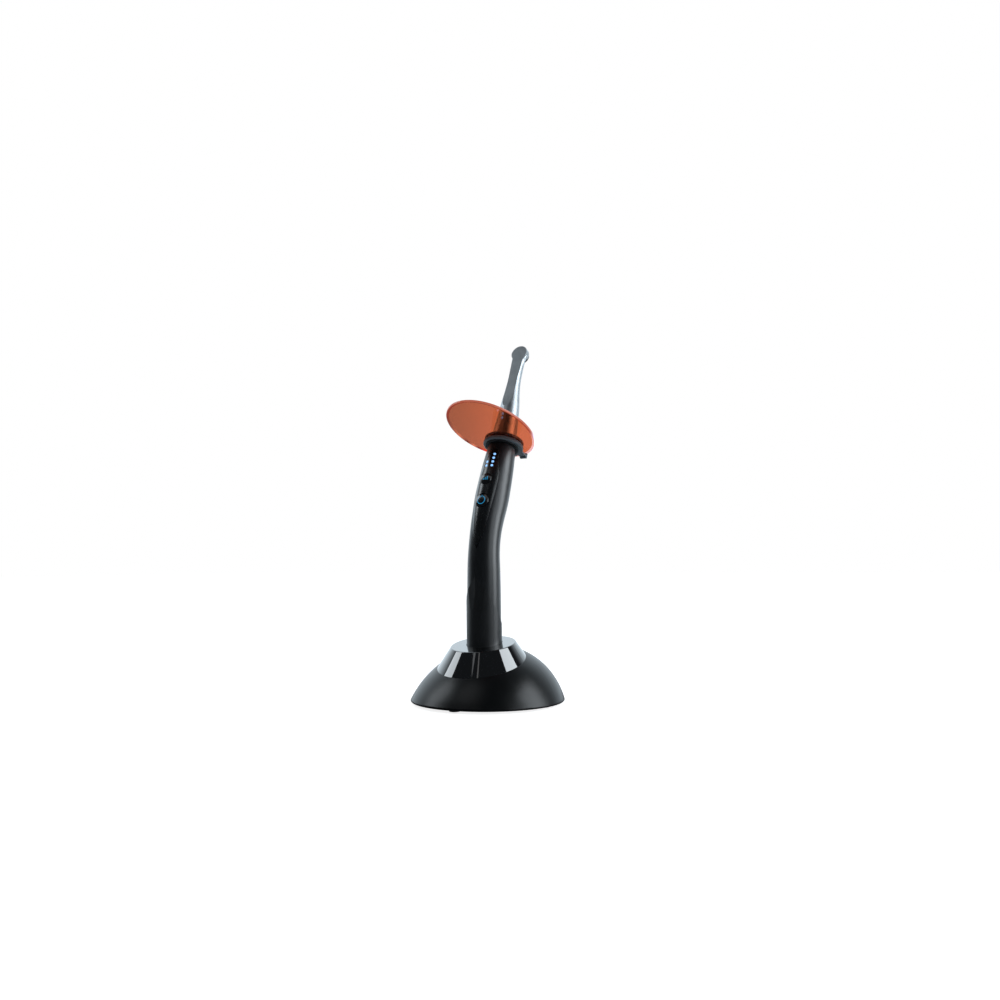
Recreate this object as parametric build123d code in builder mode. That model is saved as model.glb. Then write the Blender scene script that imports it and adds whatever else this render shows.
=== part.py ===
from build123d import *
from math import asin, cos, radians, sin, sqrt, tan
import os

# Dental curing light standing in its charging base.
# Millimetres, +Z up. The origin is on the table under the middle of the base.
# The handpiece leans back towards +Y, its buttons face -Y and its light window faces +Y.

stand_on = (Align.CENTER, Align.CENTER, Align.MIN)

# Clearances between pieces
seat_gap = 0.1
slide_gap = 0.35
trim_gap = 0.12
press_gap = 0.05
running_gap = 0.07
screw_gap = 0.05

# Charging base: dome
base_radius = 59.0
rim_height = 3.1
foot_height = 1.9
dome_height = 43.8
dome_lean = 0.23
dome_wall = 2.6
dome_crown_angle = 75.0
dome_sections = 7
dome_edge_round = 1.2

# Charging base: gloss collar
collar_face_radius = 24.6
collar_face_height = 46.0
collar_face_y = -4.0
collar_face_tilt = 10.0
collar_cone_lean = 2.6
collar_slope = 34.4
collar_wall = 2.6
collar_lip = 1.3
collar_spigot_depth = 3.0
collar_edge_round = 1.0
collar_cone_above = 8.0
collar_cone_below = 26.0

# Charging base: floor, feet, ballast and screws
plate_thickness = 2.2
foot_radius = 4.0
foot_inset = 11.0
foot_count = 4
foot_recess = 0.8
foot_chamfer = 0.4
screw_inset = 13.0
screw_count = 4
screw_radius = 1.45
screw_length = 11.0
screw_head_radius = 2.8
screw_head_height = 1.6
screw_slot_width = 0.6
screw_slot_length = 3.2
screw_slot_depth = 0.9
boss_radius = 3.6
ballast_inset = 19.0
ballast_thickness = 4.0

# Charging base: socket
socket_wall = 1.8
socket_floor = 1.8
socket_flange_radius = 18.4
socket_flange_thickness = 1.6

# Charging base: electronics
charger_board_width = 46.0
charger_board_depth = 34.0
charger_board_thickness = 1.6
charger_board_height = 12.1
charger_board_hole_inset = 4.0
charger_part_x = 12.0
charger_part_y = 9.0
charger_chip_size = 6.0
charger_chip_height = 1.0
charger_coil_size = 7.0
charger_coil_height = 3.4
charger_can_radius = 2.5
charger_can_height = 5.4
charger_board_corner = 2.0
post_radius = 2.6
pin_pitch = 9.0
pin_radius = 0.95
pin_barrel_wall = 0.55
pin_barrel_floor = 0.5
pin_barrel_proud = 1.0
pin_reach = 6.4
pin_tip_gap = 0.3
pin_tip_round = 0.55
pin_spring_wire = 0.24
pin_spring_turns = 4
pin_spring_radius = 0.7
inlet_height = 10.6
inlet_nose_radius = 4.5
inlet_bore_radius = 3.15
inlet_bore_depth = 9.0
inlet_pin_radius = 1.0
inlet_pin_length = 7.5
inlet_body_width = 10.0
inlet_body_length = 8.0
inlet_body_height = 9.0
inlet_body_inset = 7.0
inlet_inset = 2.5

# Handpiece centre line: straight, one bend, straight
grip_y = -4.3
tail_height = 24.1
bend_corner = 124.5
bend_radius = 95.0
lean = 22.3

# Handpiece: outline of the black shell, as (distance, radius), from the tail, from the end of the
# bend, from the power button and from the last light
grip_rows_tail = ((20.0, 12.9), (60.0, 12.85))
grip_rows_bend = ((-40.65, 12.55), (-25.65, 12.05), (-13.65, 12.0), (-0.65, 12.45))
grip_rows_button = ((6.0, 13.15), (16.0, 13.05))
grip_rows_light = ((-7.2, 12.4), (4.8, 11.5), (14.8, 10.7))
grip_sections = 27
grip_wall = 2.0
spigot_start = 10.0
spigot_end = 76.0
spigot_radius = 11.9
spigot_wall = 1.0

# Handpiece: lower sleeve with its V-shaped upper edge
sleeve_radius = 13.5
sleeve_apex = 74.0
sleeve_side_fall = 14.0
sleeve_back_fall = 17.5
sleeve_edge_gap = 0.15
facet_turn = 15.0
facet_step = 0.45
facet_length = 13.0

# Handpiece: tail end
tail_cap_flange = 2.8
tail_cap_length = 8.0
tail_cap_wall = 2.0
tail_edge_round = 1.0
pad_radius = 2.2
pad_thickness = 0.8
pad_recess = 0.4
tail_board_thickness = 1.0

# Handpiece: battery
cell_radius = 9.1
cell_length = 49.0
cell_start = 14.2
cell_nub_radius = 3.0
cell_nub_height = 0.8
cell_edge_round = 0.6
cradle_wall = 1.3
cradle_cap = 2.4
cradle_start = 9.4
battery_contact_radius = 6.0
battery_contact_thickness = 0.5
battery_spring_radius = 4.5
battery_spring_wire = 0.5
battery_spring_turns = 4

# Handpiece: gloss control panel, as (distance, half width), from the power button and the last light
panel_rows_button = ((-34.0, 0.0), (-22.0, 5.1), (-9.0, 6.8), (6.0, 8.1), (16.0, 8.4))
panel_rows_light = ((-11.2, 7.3), (-2.2, 5.0), (4.8, 0.0))
# The ridge that the panel is cut from, as (distance, half width where it sinks in, rise)
ridge_rows_button = (
    (-38.0, 0.6, 0.05),
    (-22.0, 5.5, 0.8),
    (-9.0, 7.2, 1.2),
    (6.0, 8.5, 1.35),
    (16.0, 8.8, 1.35),
)
ridge_rows_light = ((-7.2, 7.2, 1.1), (9.8, 0.6, 0.05))
panel_depth = 1.2
panel_tip_growth = 2.4
panel_tip_direction = (0.5, 1.0)
panel_top_direction = (-1.0, 0.05)

# Handpiece: buttons and lights on the panel
power_above_bend = 8.4
power_radius = 5.5
mode_above_power = 18.1
mode_radius = 4.6
button_proud = 0.75
button_height = 2.6
button_crown = 17.0
button_edge_round = 0.35
button_gap = 0.3
button_stem_radius = 1.3
button_stem_gap = 0.35
mark_depth = 0.2
mark_line = 0.55
mark_ring_radius = 3.4
mark_ring_opening = 1.7
mark_bar_length = 2.0
level_bar_width = 0.7
level_bar_pitch = 1.6
level_bar_heights = (1.3, 2.1, 2.9)
light_radius = 0.95
light_column = 2.4
light_above_mode = 11.9
light_pitch = 3.4
light_rows_right = 4
light_rows_left = 2
light_proud = 0.12
light_inner = 6.0

# Handpiece: control board
board_front = 5.0
board_thickness = 1.0
board_width = 14.0
board_below_power = 7.8
board_above_light = 4.8
chip_led_size = 1.4
chip_led_height = 0.5
switch_size = 4.5
switch_height = 2.2
switch_plunger_radius = 1.1
switch_plunger_height = 0.9
stem_gap = 0.6
buzzer_radius = 3.6
buzzer_height = 3.0
buzzer_above_power = 9.0
buzzer_hole_radius = 0.8
buzzer_hole_depth = 0.6
controller_above_mode = 6.9
controller_size = 5.0
controller_height = 0.9
driver_size = 4.0
driver_height = 2.6
connector_width = 6.0
connector_length = 2.8
connector_height = 1.8
carrier_bar_width = 8.0
carrier_bar_thickness = 1.4
carrier_rib_thickness = 3.0
carrier_gap = 0.3
lead_radius = 0.6
lead_spread = 2.0

# Neck and head: outline as (share of the neck's length, half width, half depth, middle
# towards the window)
neck_length = 83.0
neck_rows = (
    (0.0, 10.7, 10.7, 0.0),
    (0.072, 10.15, 10.15, 0.0),
    (0.152, 9.5, 9.5, 0.0),
    (0.265, 8.75, 8.75, 0.0),
    (0.361, 8.0, 8.0, -0.1),
    (0.434, 7.4, 7.5, -0.4),
    (0.518, 6.5, 6.6, -0.9),
    (0.602, 5.7, 5.8, -1.3),
    (0.687, 5.2, 5.3, -1.5),
    (0.783, 5.1, 5.2, -1.5),
    (0.867, 5.35, 4.8, -1.4),
    (0.94, 6.1, 3.7, -1.0),
    (1.0, 6.7, 3.4, -0.8),
)
# Bore of the neck, as (share of the neck's length, radius, middle towards the window)
bore_rows = (
    (0.012, 8.2, 0.0),
    (0.157, 7.5, 0.0),
    (0.289, 6.4, 0.0),
    (0.434, 4.6, -0.3),
    (0.578, 3.0, -0.5),
    (0.699, 2.6, -0.4),
    (0.964, 2.2, -0.3),
)
neck_spigot_length = 6.0
neck_spigot_wall = 1.6
head_radius = 6.8
head_front = 2.8
head_back = 6.0
head_edge_round = 1.0
# Flat back of the neck: straight line, then an arc that runs out of the surface, as (share of
# the neck's length, middle towards the window)
flat_tip = (1.12, -2.3)
flat_start = (0.53, -5.6)
flat_runout = (0.343, -8.9)
pocket_radius = 4.9
pocket_floor = -1.6

# Head: light unit
spreader_disc_thickness = 1.2
spreader_rod_radius = 1.0
spreader_rod_middle = -1.4
spreader_block_inset = 3.5
spreader_block_length = 8.0
spreader_block_radius = 6.9
spreader_slot_width = 4.0
emitter_board_thickness = 1.0
emitter_size = 3.4
emitter_height = 0.7
reflector_height = 2.1
reflector_throat_radius = 2.7
reflector_mouth_radius = 4.2
lens_thickness = 1.2
lens_dome_height = 0.6
ring_radius = 5.6
ring_bore_radius = 4.35
ring_proud = 2.0
ring_edge_round = 0.5
emitter_lead_radius = 0.45
emitter_lead_spread = 0.9
emitter_lead_middle = 0.15
emitter_lead_bend = 3.0

# Neck seal and grub screws
seal_inset = 2.8
seal_wire = 1.0
grub_inset = 4.8
grub_radius = 1.0
grub_length = 2.6
grub_socket_radius = 0.5
grub_socket_depth = 1.0

# Glare shield
shield_inset = 2.0
lower_flange_thickness = 3.2
lower_flange_radius = 16.0
upper_flange_thickness = 2.4
upper_flange_radius = 15.6
flange_offset = 1.3
hub_radius = 13.5
liner_radius = 12.1
liner_lip_radius = 13.1
liner_lip_thickness = 0.8
liner_grip_gap = 0.15
shield_half_width = 32.0
shield_half_length = 44.0
shield_offset = -20.7
shield_thickness = 2.0
shield_edge_round = 0.6
lug_side = 9.7
lug_reach = 19.7
lug_width = 5.6
lug_drop = 0.8
lug_plate_thickness = 1.5
lug_lip_thickness = 1.7

# Worked out from the values above
dome_rise = dome_height - rim_height
dome_curve = (base_radius**2 + dome_rise**2) / (2 * dome_rise)
dome_centre = dome_height - dome_curve
foot_circle = base_radius - foot_inset
screw_circle = base_radius - screw_inset
inlet_reach = base_radius - inlet_inset
bend_tangent = bend_radius * tan(radians(lean) / 2)
bend_start = bend_corner - tail_height - bend_tangent
bend_end = bend_start + bend_radius * radians(lean)
power_reach = bend_end + power_above_bend
mode_reach = power_reach + mode_above_power
buzzer_reach = power_reach + buzzer_above_power
controller_reach = mode_reach + controller_above_mode
light_first = mode_reach + light_above_mode
light_last = light_first + (light_rows_right - 1) * light_pitch
board_start = power_reach - board_below_power
board_end = light_last + board_above_light


def along(start, rows):
    """Rows of a table moved up the centre line by a distance."""
    return tuple((start + row[0], *row[1:]) for row in rows)


def up_neck(row):
    """Row of a table whose first value is a share of the neck's length above the grip."""
    return (grip_end + row[0] * neck_length, *row[1:])


grip_outline = along(0, grip_rows_tail) + along(bend_end, grip_rows_bend)
grip_outline += along(power_reach, grip_rows_button) + along(light_last, grip_rows_light)
panel_outline = along(power_reach, panel_rows_button) + along(light_last, panel_rows_light)
panel_ridge = along(power_reach, ridge_rows_button) + along(light_last, ridge_rows_light)
grip_end = grip_outline[-1][0]
head_reach = grip_end + neck_length
neck_outline = tuple(up_neck(row) for row in neck_rows)
neck_bore = tuple(up_neck(row) for row in bore_rows)
shield_seat = grip_end - shield_inset
seal_reach = grip_end - seal_inset
grub_reach = grip_end - grub_inset
spreader_block_start = grip_end + spreader_block_inset
spigot_bore = spigot_radius - spigot_wall
socket_radius = sleeve_radius + slide_gap
socket_top = tail_height - seat_gap
plate_top = foot_height + plate_thickness
board_top = charger_board_height + charger_board_thickness
pad_face = tail_height + pad_recess
pin_tip = pad_face - pin_tip_gap
pin_start = pin_tip - pin_reach
pin_bore = pin_radius + running_gap
lead_out = board_front - board_thickness / 2
shield_start = shield_seat + lower_flange_thickness
shield_end = shield_start + shield_thickness
collar_end = shield_end + upper_flange_thickness
liner_bore = liner_radius + running_gap
grub_start = grip_outline[-1][1] + 2 * press_gap - grub_length
pin_spots = [(-pin_pitch / 2, grip_y), (pin_pitch / 2, grip_y)]
post_spots = [
    (side * (charger_board_width / 2 - charger_board_hole_inset),
     grip_y + end * (charger_board_depth / 2 - charger_board_hole_inset))
    for side in (-1, 1) for end in (-1, 1)
]

os.makedirs("parts", exist_ok=True)


def spine_plane(reach, out=0.0, across=0.0):
    """Plane square to the centre line, a distance from the tail; its y points to the window."""
    angle = min(max(reach - bend_start, 0.0) / bend_radius, radians(lean))
    rise_below = min(reach, bend_start)
    rise_above = max(reach - bend_end, 0.0)
    y = grip_y + bend_radius * (1 - cos(angle)) + rise_above * sin(angle)
    z = tail_height + rise_below + bend_radius * sin(angle) + rise_above * cos(angle)
    middle = Vector(across, y - out * cos(angle), z + out * sin(angle))
    return Plane(origin=middle, x_dir=(1, 0, 0), z_dir=(0, sin(angle), cos(angle)))


def outward_plane(reach, out, across=0.0):
    """Plane that faces away from the window, at a distance out from the centre line."""
    level = spine_plane(reach, out, across)
    return Plane(origin=level.origin, x_dir=(1, 0, 0), z_dir=-level.y_dir)


def window_plane(reach, middle):
    """Plane that faces the window side, at a distance from the centre line."""
    level = spine_plane(reach, -middle)
    return Plane(origin=level.origin, x_dir=(-1, 0, 0), z_dir=level.y_dir)


def slope_at(table, number, column):
    """Slope of a table's column at one of its rows."""
    before = table[max(number - 1, 0)]
    after = table[min(number + 1, len(table) - 1)]
    return (after[column] - before[column]) / (after[0] - before[0])


def between(table, reach, column):
    """Smooth value of a table's column at a distance along the centre line."""
    number = sum(1 for row in table[1:-1] if row[0] <= reach)
    low = table[number]
    high = table[number + 1]
    step = high[0] - low[0]
    share = min(max((reach - low[0]) / step, 0.0), 1.0)
    blend = share**2 * (3 - 2 * share)
    start = slope_at(table, number, column) * step * share * (1 - share) ** 2
    end = slope_at(table, number + 1, column) * step * share**2 * (share - 1)
    return low[column] + blend * (high[column] - low[column]) + start + end


def dome_form(inset):
    """Solid dome, its round profile drawn in by an inset."""
    radius = dome_curve - inset
    low = asin((foot_height - dome_centre) / radius)
    high = radians(dome_crown_angle)
    with BuildPart() as form:
        for step in range(dome_sections):
            angle = low + (high - low) * step / (dome_sections - 1)
            height = dome_centre + radius * sin(angle)
            with BuildSketch(Plane((0, dome_lean * (height - rim_height), height))):
                Circle(radius * cos(angle))
        loft()
    return form.part


face_plane = Plane(
    origin=(0, collar_face_y, collar_face_height),
    x_dir=(1, 0, 0),
    z_dir=(0, -sin(radians(collar_face_tilt)), cos(radians(collar_face_tilt))),
)
cone_plane = Plane(
    origin=face_plane.origin,
    x_dir=(1, 0, 0),
    z_dir=(0, -sin(radians(collar_cone_lean)), cos(radians(collar_cone_lean))),
)


def cone_form(inset, sunk):
    """Solid frustum of the gloss collar, drawn in by an inset and cut below its top face."""
    slope = tan(radians(collar_slope))
    with BuildPart(cone_plane.offset(-collar_cone_below)) as form:
        Cone(
            collar_face_radius - inset + collar_cone_below * slope,
            collar_face_radius - inset - collar_cone_above * slope,
            collar_cone_below + collar_cone_above,
            align=stand_on,
        )
        split(bisect_by=face_plane.offset(-sunk), keep=Keep.BOTTOM)
    return form.part


def grip_form(inset):
    """Solid of the upper shell's outline, drawn in by an inset."""
    start = grip_outline[0][0]
    with BuildPart() as form:
        for number in range(grip_sections + 1):
            reach = start + (grip_end - start) * number / grip_sections
            with BuildSketch(spine_plane(reach)):
                Circle(between(grip_outline, reach, 1) - inset)
        loft()
    return form.part


def below_edge(gap):
    """Space under the sleeve's V-shaped upper edge, lowered by a gap."""
    span = 6 * sleeve_radius
    with BuildPart(Plane((0, grip_y, tail_height - span / 2))) as form:
        Box(span, span, 3 * span, align=stand_on)
        for side in (-1, 1):
            edge = Plane(
                origin=(0, grip_y - sleeve_radius, tail_height + sleeve_apex - gap),
                z_dir=(side * sleeve_side_fall / sleeve_radius, sleeve_back_fall / sleeve_radius, 1),
            )
            split(bisect_by=edge, keep=Keep.BOTTOM)
    return form.part


# Keeps the leaf prism on the button side of the leaning handpiece
ridge_floor = outward_plane(bend_end, board_front)


def leaf_prism(growth):
    """Upright prism of the control panel's leaf outline, grown by a gap, on the button side."""
    spots = []
    for reach, half_width in panel_outline:
        level = spine_plane(reach, between(grip_outline, reach, 1))
        spots.append((half_width + growth, level.origin.Z))
    spots[0] = (0, spots[0][1] - panel_tip_growth * growth)
    spots[-1] = (0, spots[-1][1] + growth)
    depth = 3 * sleeve_radius
    with BuildPart() as form:
        with BuildSketch(Plane.XZ.offset(-grip_y)):
            with BuildLine():
                edge = Spline(*spots, tangents=[panel_tip_direction, panel_top_direction])
                mirror(edge, about=Plane.YZ)
            make_face()
        extrude(amount=depth, both=True)
        split(bisect_by=ridge_floor, keep=Keep.TOP)
    return form.part


def ridge_form(growth):
    """Solid ridge whose crown is the control panel's top surface."""
    with BuildPart() as form:
        for reach, half_width, rise in panel_ridge:
            grip = between(grip_outline, reach, 1)
            crown = grip + rise
            middle = (crown**2 - grip**2) / (2 * (crown - sqrt(grip**2 - half_width**2)))
            with BuildSketch(spine_plane(reach, middle)):
                Circle(crown - middle + growth)
        loft()
    return form.part


def panel_top(reach):
    """Height of the control panel's crown above the centre line."""
    return between(grip_outline, reach, 1) + between(panel_ridge, reach, 2)


def coil(plane, radius, wire, turns, height):
    """Round wire coil that stands on a plane."""
    with BuildPart() as form:
        with BuildLine(plane):
            path = Helix(pitch=height / turns, height=height, radius=radius)
        with BuildSketch(Plane(origin=path @ 0, z_dir=path % 0)):
            Circle(wire / 2)
        sweep(path=path)
    return form.part


def button_form(reach, radius):
    """Domed button cap without its mark."""
    top = panel_top(reach) + button_proud
    with BuildPart(outward_plane(reach, top)) as form:
        with Locations((0, 0, -button_height)):
            Cylinder(radius, button_height, align=stand_on)
        with Locations((0, 0, -button_crown)):
            Sphere(button_crown, mode=Mode.INTERSECT)
        outwards = Axis((0, 0, 0), outward_plane(reach, top).z_dir)
        rims = form.edges().filter_by(GeomType.CIRCLE).filter_by(lambda rim: rim.radius < button_crown)
        fillet(rims.sort_by(outwards)[-1], button_edge_round)
    return form.part


# Base dome
dome_shell = dome_form(0)
with BuildPart() as screw_bosses:
    with BuildSketch(Plane.XY.offset(plate_top + seat_gap)):
        with PolarLocations(screw_circle, screw_count, start_angle=45):
            Circle(boss_radius)
    extrude(amount=dome_curve)
    add(dome_form(dome_wall / 2), mode=Mode.INTERSECT)
with BuildPart() as base_dome:
    add(dome_shell)
    fillet(base_dome.edges().group_by(Axis.Z)[0], dome_edge_round)
    add(dome_form(dome_wall), mode=Mode.SUBTRACT)
    add(screw_bosses.part)
    with BuildSketch(Plane.XY.offset(plate_top)):
        with PolarLocations(screw_circle, screw_count, start_angle=45):
            Circle(screw_radius + screw_gap)
    extrude(amount=screw_length, mode=Mode.SUBTRACT)
    add(cone_form(collar_lip - press_gap, 0), mode=Mode.SUBTRACT)
    with BuildSketch(Plane.XZ.offset(-base_radius - dome_wall)):
        with Locations((0, inlet_height)):
            Circle(inlet_nose_radius + trim_gap)
    extrude(amount=2 * inlet_body_inset, mode=Mode.SUBTRACT)
base_dome.part.label = "base_dome"
export_step(base_dome.part, "parts/base_dome.step")

# Gloss collar on top of the dome
with BuildPart() as base_collar:
    add(cone_form(0, 0))
    fillet(base_collar.edges().filter_by(GeomType.ELLIPSE).sort_by(Axis.Z)[-1], collar_edge_round)
    add(dome_shell, mode=Mode.SUBTRACT)
    add(cone_form(collar_lip, collar_wall / 2) - dome_form(dome_wall + collar_spigot_depth))
    add(cone_form(collar_wall, collar_wall), mode=Mode.SUBTRACT)
    with BuildSketch(Plane((0, grip_y, socket_top))):
        Circle(socket_radius)
    extrude(amount=collar_face_height, mode=Mode.SUBTRACT)
base_collar.part.label = "base_collar"
export_step(base_collar.part, "parts/base_collar.step")

# Cup of the socket, hung under the collar's top face
cup_plane = face_plane.offset(-collar_wall)
with BuildPart() as socket_cup:
    with BuildSketch(Plane((0, grip_y, socket_top - socket_floor))):
        Circle(socket_radius + socket_wall)
    extrude(amount=collar_face_height)
    split(bisect_by=cup_plane, keep=Keep.BOTTOM)
    with BuildSketch(cup_plane.offset(-socket_flange_thickness)):
        with Locations((0, grip_y - collar_face_y)):
            Circle(socket_flange_radius)
    extrude(amount=socket_flange_thickness)
    with BuildSketch(Plane((0, grip_y, socket_top))):
        Circle(socket_radius)
    extrude(amount=collar_face_height, mode=Mode.SUBTRACT)
    with BuildSketch(Plane.XY.offset(socket_top - socket_floor)):
        with Locations(*pin_spots):
            Circle(pin_bore + pin_barrel_wall + trim_gap)
    extrude(amount=socket_floor, mode=Mode.SUBTRACT)
socket_cup.part.label = "socket_cup"
export_step(socket_cup.part, "parts/socket_cup.step")

# Floor of the base with its board posts
with BuildPart() as base_plate:
    add(dome_form(dome_wall + slide_gap))
    split(bisect_by=Plane.XY.offset(plate_top), keep=Keep.BOTTOM)
    with BuildSketch(Plane.XY.offset(plate_top)):
        with Locations(*post_spots):
            Circle(post_radius)
    extrude(amount=charger_board_height - plate_top)
    with BuildSketch(Plane.XY.offset(foot_height)):
        with PolarLocations(foot_circle, foot_count):
            Circle(foot_radius + press_gap)
    extrude(amount=foot_recess, mode=Mode.SUBTRACT)
    with PolarLocations(screw_circle, screw_count, start_angle=45):
        with Locations((0, 0, foot_height)):
            Cone(
                screw_head_radius + screw_gap, screw_radius + screw_gap, screw_head_height,
                align=stand_on, mode=Mode.SUBTRACT,
            )
            Cylinder(screw_radius + screw_gap, plate_thickness, align=stand_on, mode=Mode.SUBTRACT)
base_plate.part.label = "base_plate"
export_step(base_plate.part, "parts/base_plate.step")

# Steel ring that weighs the base down
with BuildPart() as ballast_plate:
    with BuildSketch(Plane.XY.offset(plate_top)):
        Circle(base_radius - ballast_inset)
        Rectangle(
            charger_board_width + 2 * trim_gap,
            charger_board_depth + 2 * abs(grip_y),
            mode=Mode.SUBTRACT,
        )
    extrude(amount=ballast_thickness)
ballast_plate.part.label = "ballast_plate"
export_step(ballast_plate.part, "parts/ballast_plate.step")

# Four rubber feet
with BuildPart() as rubber_feet:
    with BuildSketch():
        with PolarLocations(foot_circle, foot_count):
            Circle(foot_radius)
    extrude(amount=foot_height + foot_recess)
    chamfer(rubber_feet.edges().group_by(Axis.Z)[0], foot_chamfer)
rubber_feet.part.label = "rubber_feet"
export_step(rubber_feet.part, "parts/rubber_feet.step")

# Four countersunk screws
with BuildPart() as base_screws:
    with PolarLocations(screw_circle, screw_count, start_angle=45):
        with Locations((0, 0, foot_height)):
            Cone(screw_head_radius, screw_radius, screw_head_height, align=stand_on)
            Cylinder(screw_radius, screw_length, align=stand_on)
    with BuildSketch(Plane.XY.offset(foot_height)):
        with PolarLocations(screw_circle, screw_count, start_angle=45):
            Rectangle(screw_slot_width, screw_slot_length)
            Rectangle(screw_slot_length, screw_slot_width)
    extrude(amount=screw_slot_depth, mode=Mode.SUBTRACT)
base_screws.part.label = "base_screws"
export_step(base_screws.part, "parts/base_screws.step")

# Charger board
with BuildPart() as charger_board:
    with BuildSketch(Plane((0, grip_y, charger_board_height))):
        RectangleRounded(charger_board_width, charger_board_depth, charger_board_corner)
    extrude(amount=charger_board_thickness)
charger_board.part.label = "charger_board"
export_step(charger_board.part, "parts/charger_board.step")

# Parts on the charger board: driver chip, coil and two capacitors
with BuildPart() as charger_components:
    with BuildSketch(Plane.XY.offset(board_top)):
        with Locations((-charger_part_x, grip_y - charger_part_y)):
            Rectangle(charger_chip_size, charger_chip_size)
    extrude(amount=charger_chip_height)
    with BuildSketch(Plane.XY.offset(board_top)):
        with Locations((charger_part_x, grip_y - charger_part_y)):
            RectangleRounded(charger_coil_size, charger_coil_size, charger_coil_size / 8)
    extrude(amount=charger_coil_height)
    with BuildSketch(Plane.XY.offset(board_top)):
        with Locations((-charger_part_x, grip_y + charger_part_y), (charger_part_x, grip_y + charger_part_y)):
            Circle(charger_can_radius)
    extrude(amount=charger_can_height)
charger_components.part.label = "charger_components"
export_step(charger_components.part, "parts/charger_components.step")

# Supply inlet in the back of the base
with BuildPart() as power_inlet:
    with BuildSketch(Plane.XZ.offset(-inlet_reach)):
        with Locations((0, inlet_height)):
            Circle(inlet_nose_radius)
    extrude(amount=inlet_body_inset)
    with BuildSketch(Plane.XZ.offset(-inlet_reach + inlet_body_inset)):
        with Locations((0, inlet_height)):
            Rectangle(inlet_body_width, inlet_body_height)
    extrude(amount=inlet_body_length)
    with BuildSketch(Plane.XZ.offset(-inlet_reach)):
        with Locations((0, inlet_height)):
            Circle(inlet_bore_radius)
    extrude(amount=inlet_bore_depth, mode=Mode.SUBTRACT)
power_inlet.part.label = "power_inlet"
export_step(power_inlet.part, "parts/power_inlet.step")

# Centre contact of the supply inlet
with BuildPart() as inlet_pin:
    with BuildSketch(Plane.XZ.offset(-inlet_reach + inlet_bore_depth)):
        with Locations((0, inlet_height)):
            Circle(inlet_pin_radius)
    extrude(amount=-inlet_pin_length)
inlet_pin.part.label = "inlet_pin"
export_step(inlet_pin.part, "parts/inlet_pin.step")

# Barrels of the two spring contacts
barrel_length = socket_top - socket_floor + pin_barrel_proud - board_top
with BuildPart() as charge_pin_barrels:
    with BuildSketch(Plane.XY.offset(board_top)):
        with Locations(*pin_spots):
            Circle(pin_bore + pin_barrel_wall)
    extrude(amount=barrel_length)
    with BuildSketch(Plane.XY.offset(board_top + pin_barrel_floor)):
        with Locations(*pin_spots):
            Circle(pin_bore)
    extrude(amount=barrel_length, mode=Mode.SUBTRACT)
charge_pin_barrels.part.label = "charge_pin_barrels"
export_step(charge_pin_barrels.part, "parts/charge_pin_barrels.step")

# Spring contacts: plunger and coil on each side
coil_start = board_top + pin_barrel_floor + pin_spring_wire
coil_height = pin_start - pin_spring_wire - coil_start
for side, (x, y) in zip(("left", "right"), pin_spots):
    with BuildPart(Plane((x, y, pin_start))) as charge_pin:
        Cylinder(pin_radius, pin_reach, align=stand_on)
        fillet(charge_pin.edges().group_by(Axis.Z)[-1], pin_tip_round)
    charge_pin.part.label = "charge_pin_" + side
    export_step(charge_pin.part, "parts/charge_pin_" + side + ".step")
    pin_spring = coil(
        Plane((x, y, coil_start)), pin_spring_radius, pin_spring_wire, pin_spring_turns, coil_height
    )
    pin_spring.label = "charge_pin_spring_" + side
    export_step(pin_spring, "parts/charge_pin_spring_" + side + ".step")

# Upper shell of the handpiece
grip_outer = grip_form(0)
panel_seat = grip_form(panel_depth + press_gap)
light_spots = [(light_first + row * light_pitch, light_column) for row in range(light_rows_right)]
light_spots += [(light_first + row * light_pitch, -light_column) for row in range(light_rows_left)]
with BuildPart() as body_shell:
    add(grip_outer)
    add(below_edge(-sleeve_edge_gap), mode=Mode.SUBTRACT)
    with BuildSketch(spine_plane(spigot_start)):
        Circle(spigot_radius)
    extrude(amount=spigot_end - spigot_start)
    add(grip_form(grip_wall), mode=Mode.SUBTRACT)
    with BuildSketch(spine_plane(spigot_start)):
        Circle(spigot_bore)
    extrude(amount=grip_outline[1][0] - spigot_start, mode=Mode.SUBTRACT)
    add(leaf_prism(trim_gap) - panel_seat, mode=Mode.SUBTRACT)
    for reach, across in light_spots:
        with BuildSketch(outward_plane(reach, light_inner, across)):
            Circle(light_radius + trim_gap)
        extrude(amount=sleeve_radius, mode=Mode.SUBTRACT)
    for reach in (power_reach, mode_reach):
        with BuildSketch(outward_plane(reach, light_inner)):
            Circle(button_stem_radius + button_stem_gap)
        extrude(amount=sleeve_radius, mode=Mode.SUBTRACT)
    for side in (-1, 1):
        with BuildSketch(Plane(spine_plane(grub_reach).origin, x_dir=(0, 1, 0), z_dir=(side, 0, 0))):
            Circle(grub_radius + screw_gap)
        extrude(amount=sleeve_radius, mode=Mode.SUBTRACT)
body_shell.part.label = "body_shell"
export_step(body_shell.part, "parts/body_shell.step")

# Lower sleeve with its V-shaped edge and two facets
with BuildPart() as tail_sleeve:
    with BuildSketch(spine_plane(tail_cap_flange)):
        Circle(sleeve_radius)
        Circle(spigot_radius + press_gap, mode=Mode.SUBTRACT)
    extrude(amount=sleeve_apex)
    add(below_edge(0), mode=Mode.INTERSECT)
    facet_slope = facet_step * cos(radians(facet_turn)) / facet_length
    for side in (-1, 1):
        facet = Plane(
            origin=(0, grip_y - sleeve_radius + facet_step, tail_height + sleeve_apex),
            z_dir=(side * sin(radians(facet_turn)), -cos(radians(facet_turn)), facet_slope),
        )
        split(bisect_by=facet, keep=Keep.BOTTOM)
tail_sleeve.part.label = "tail_sleeve"
export_step(tail_sleeve.part, "parts/tail_sleeve.step")

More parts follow.
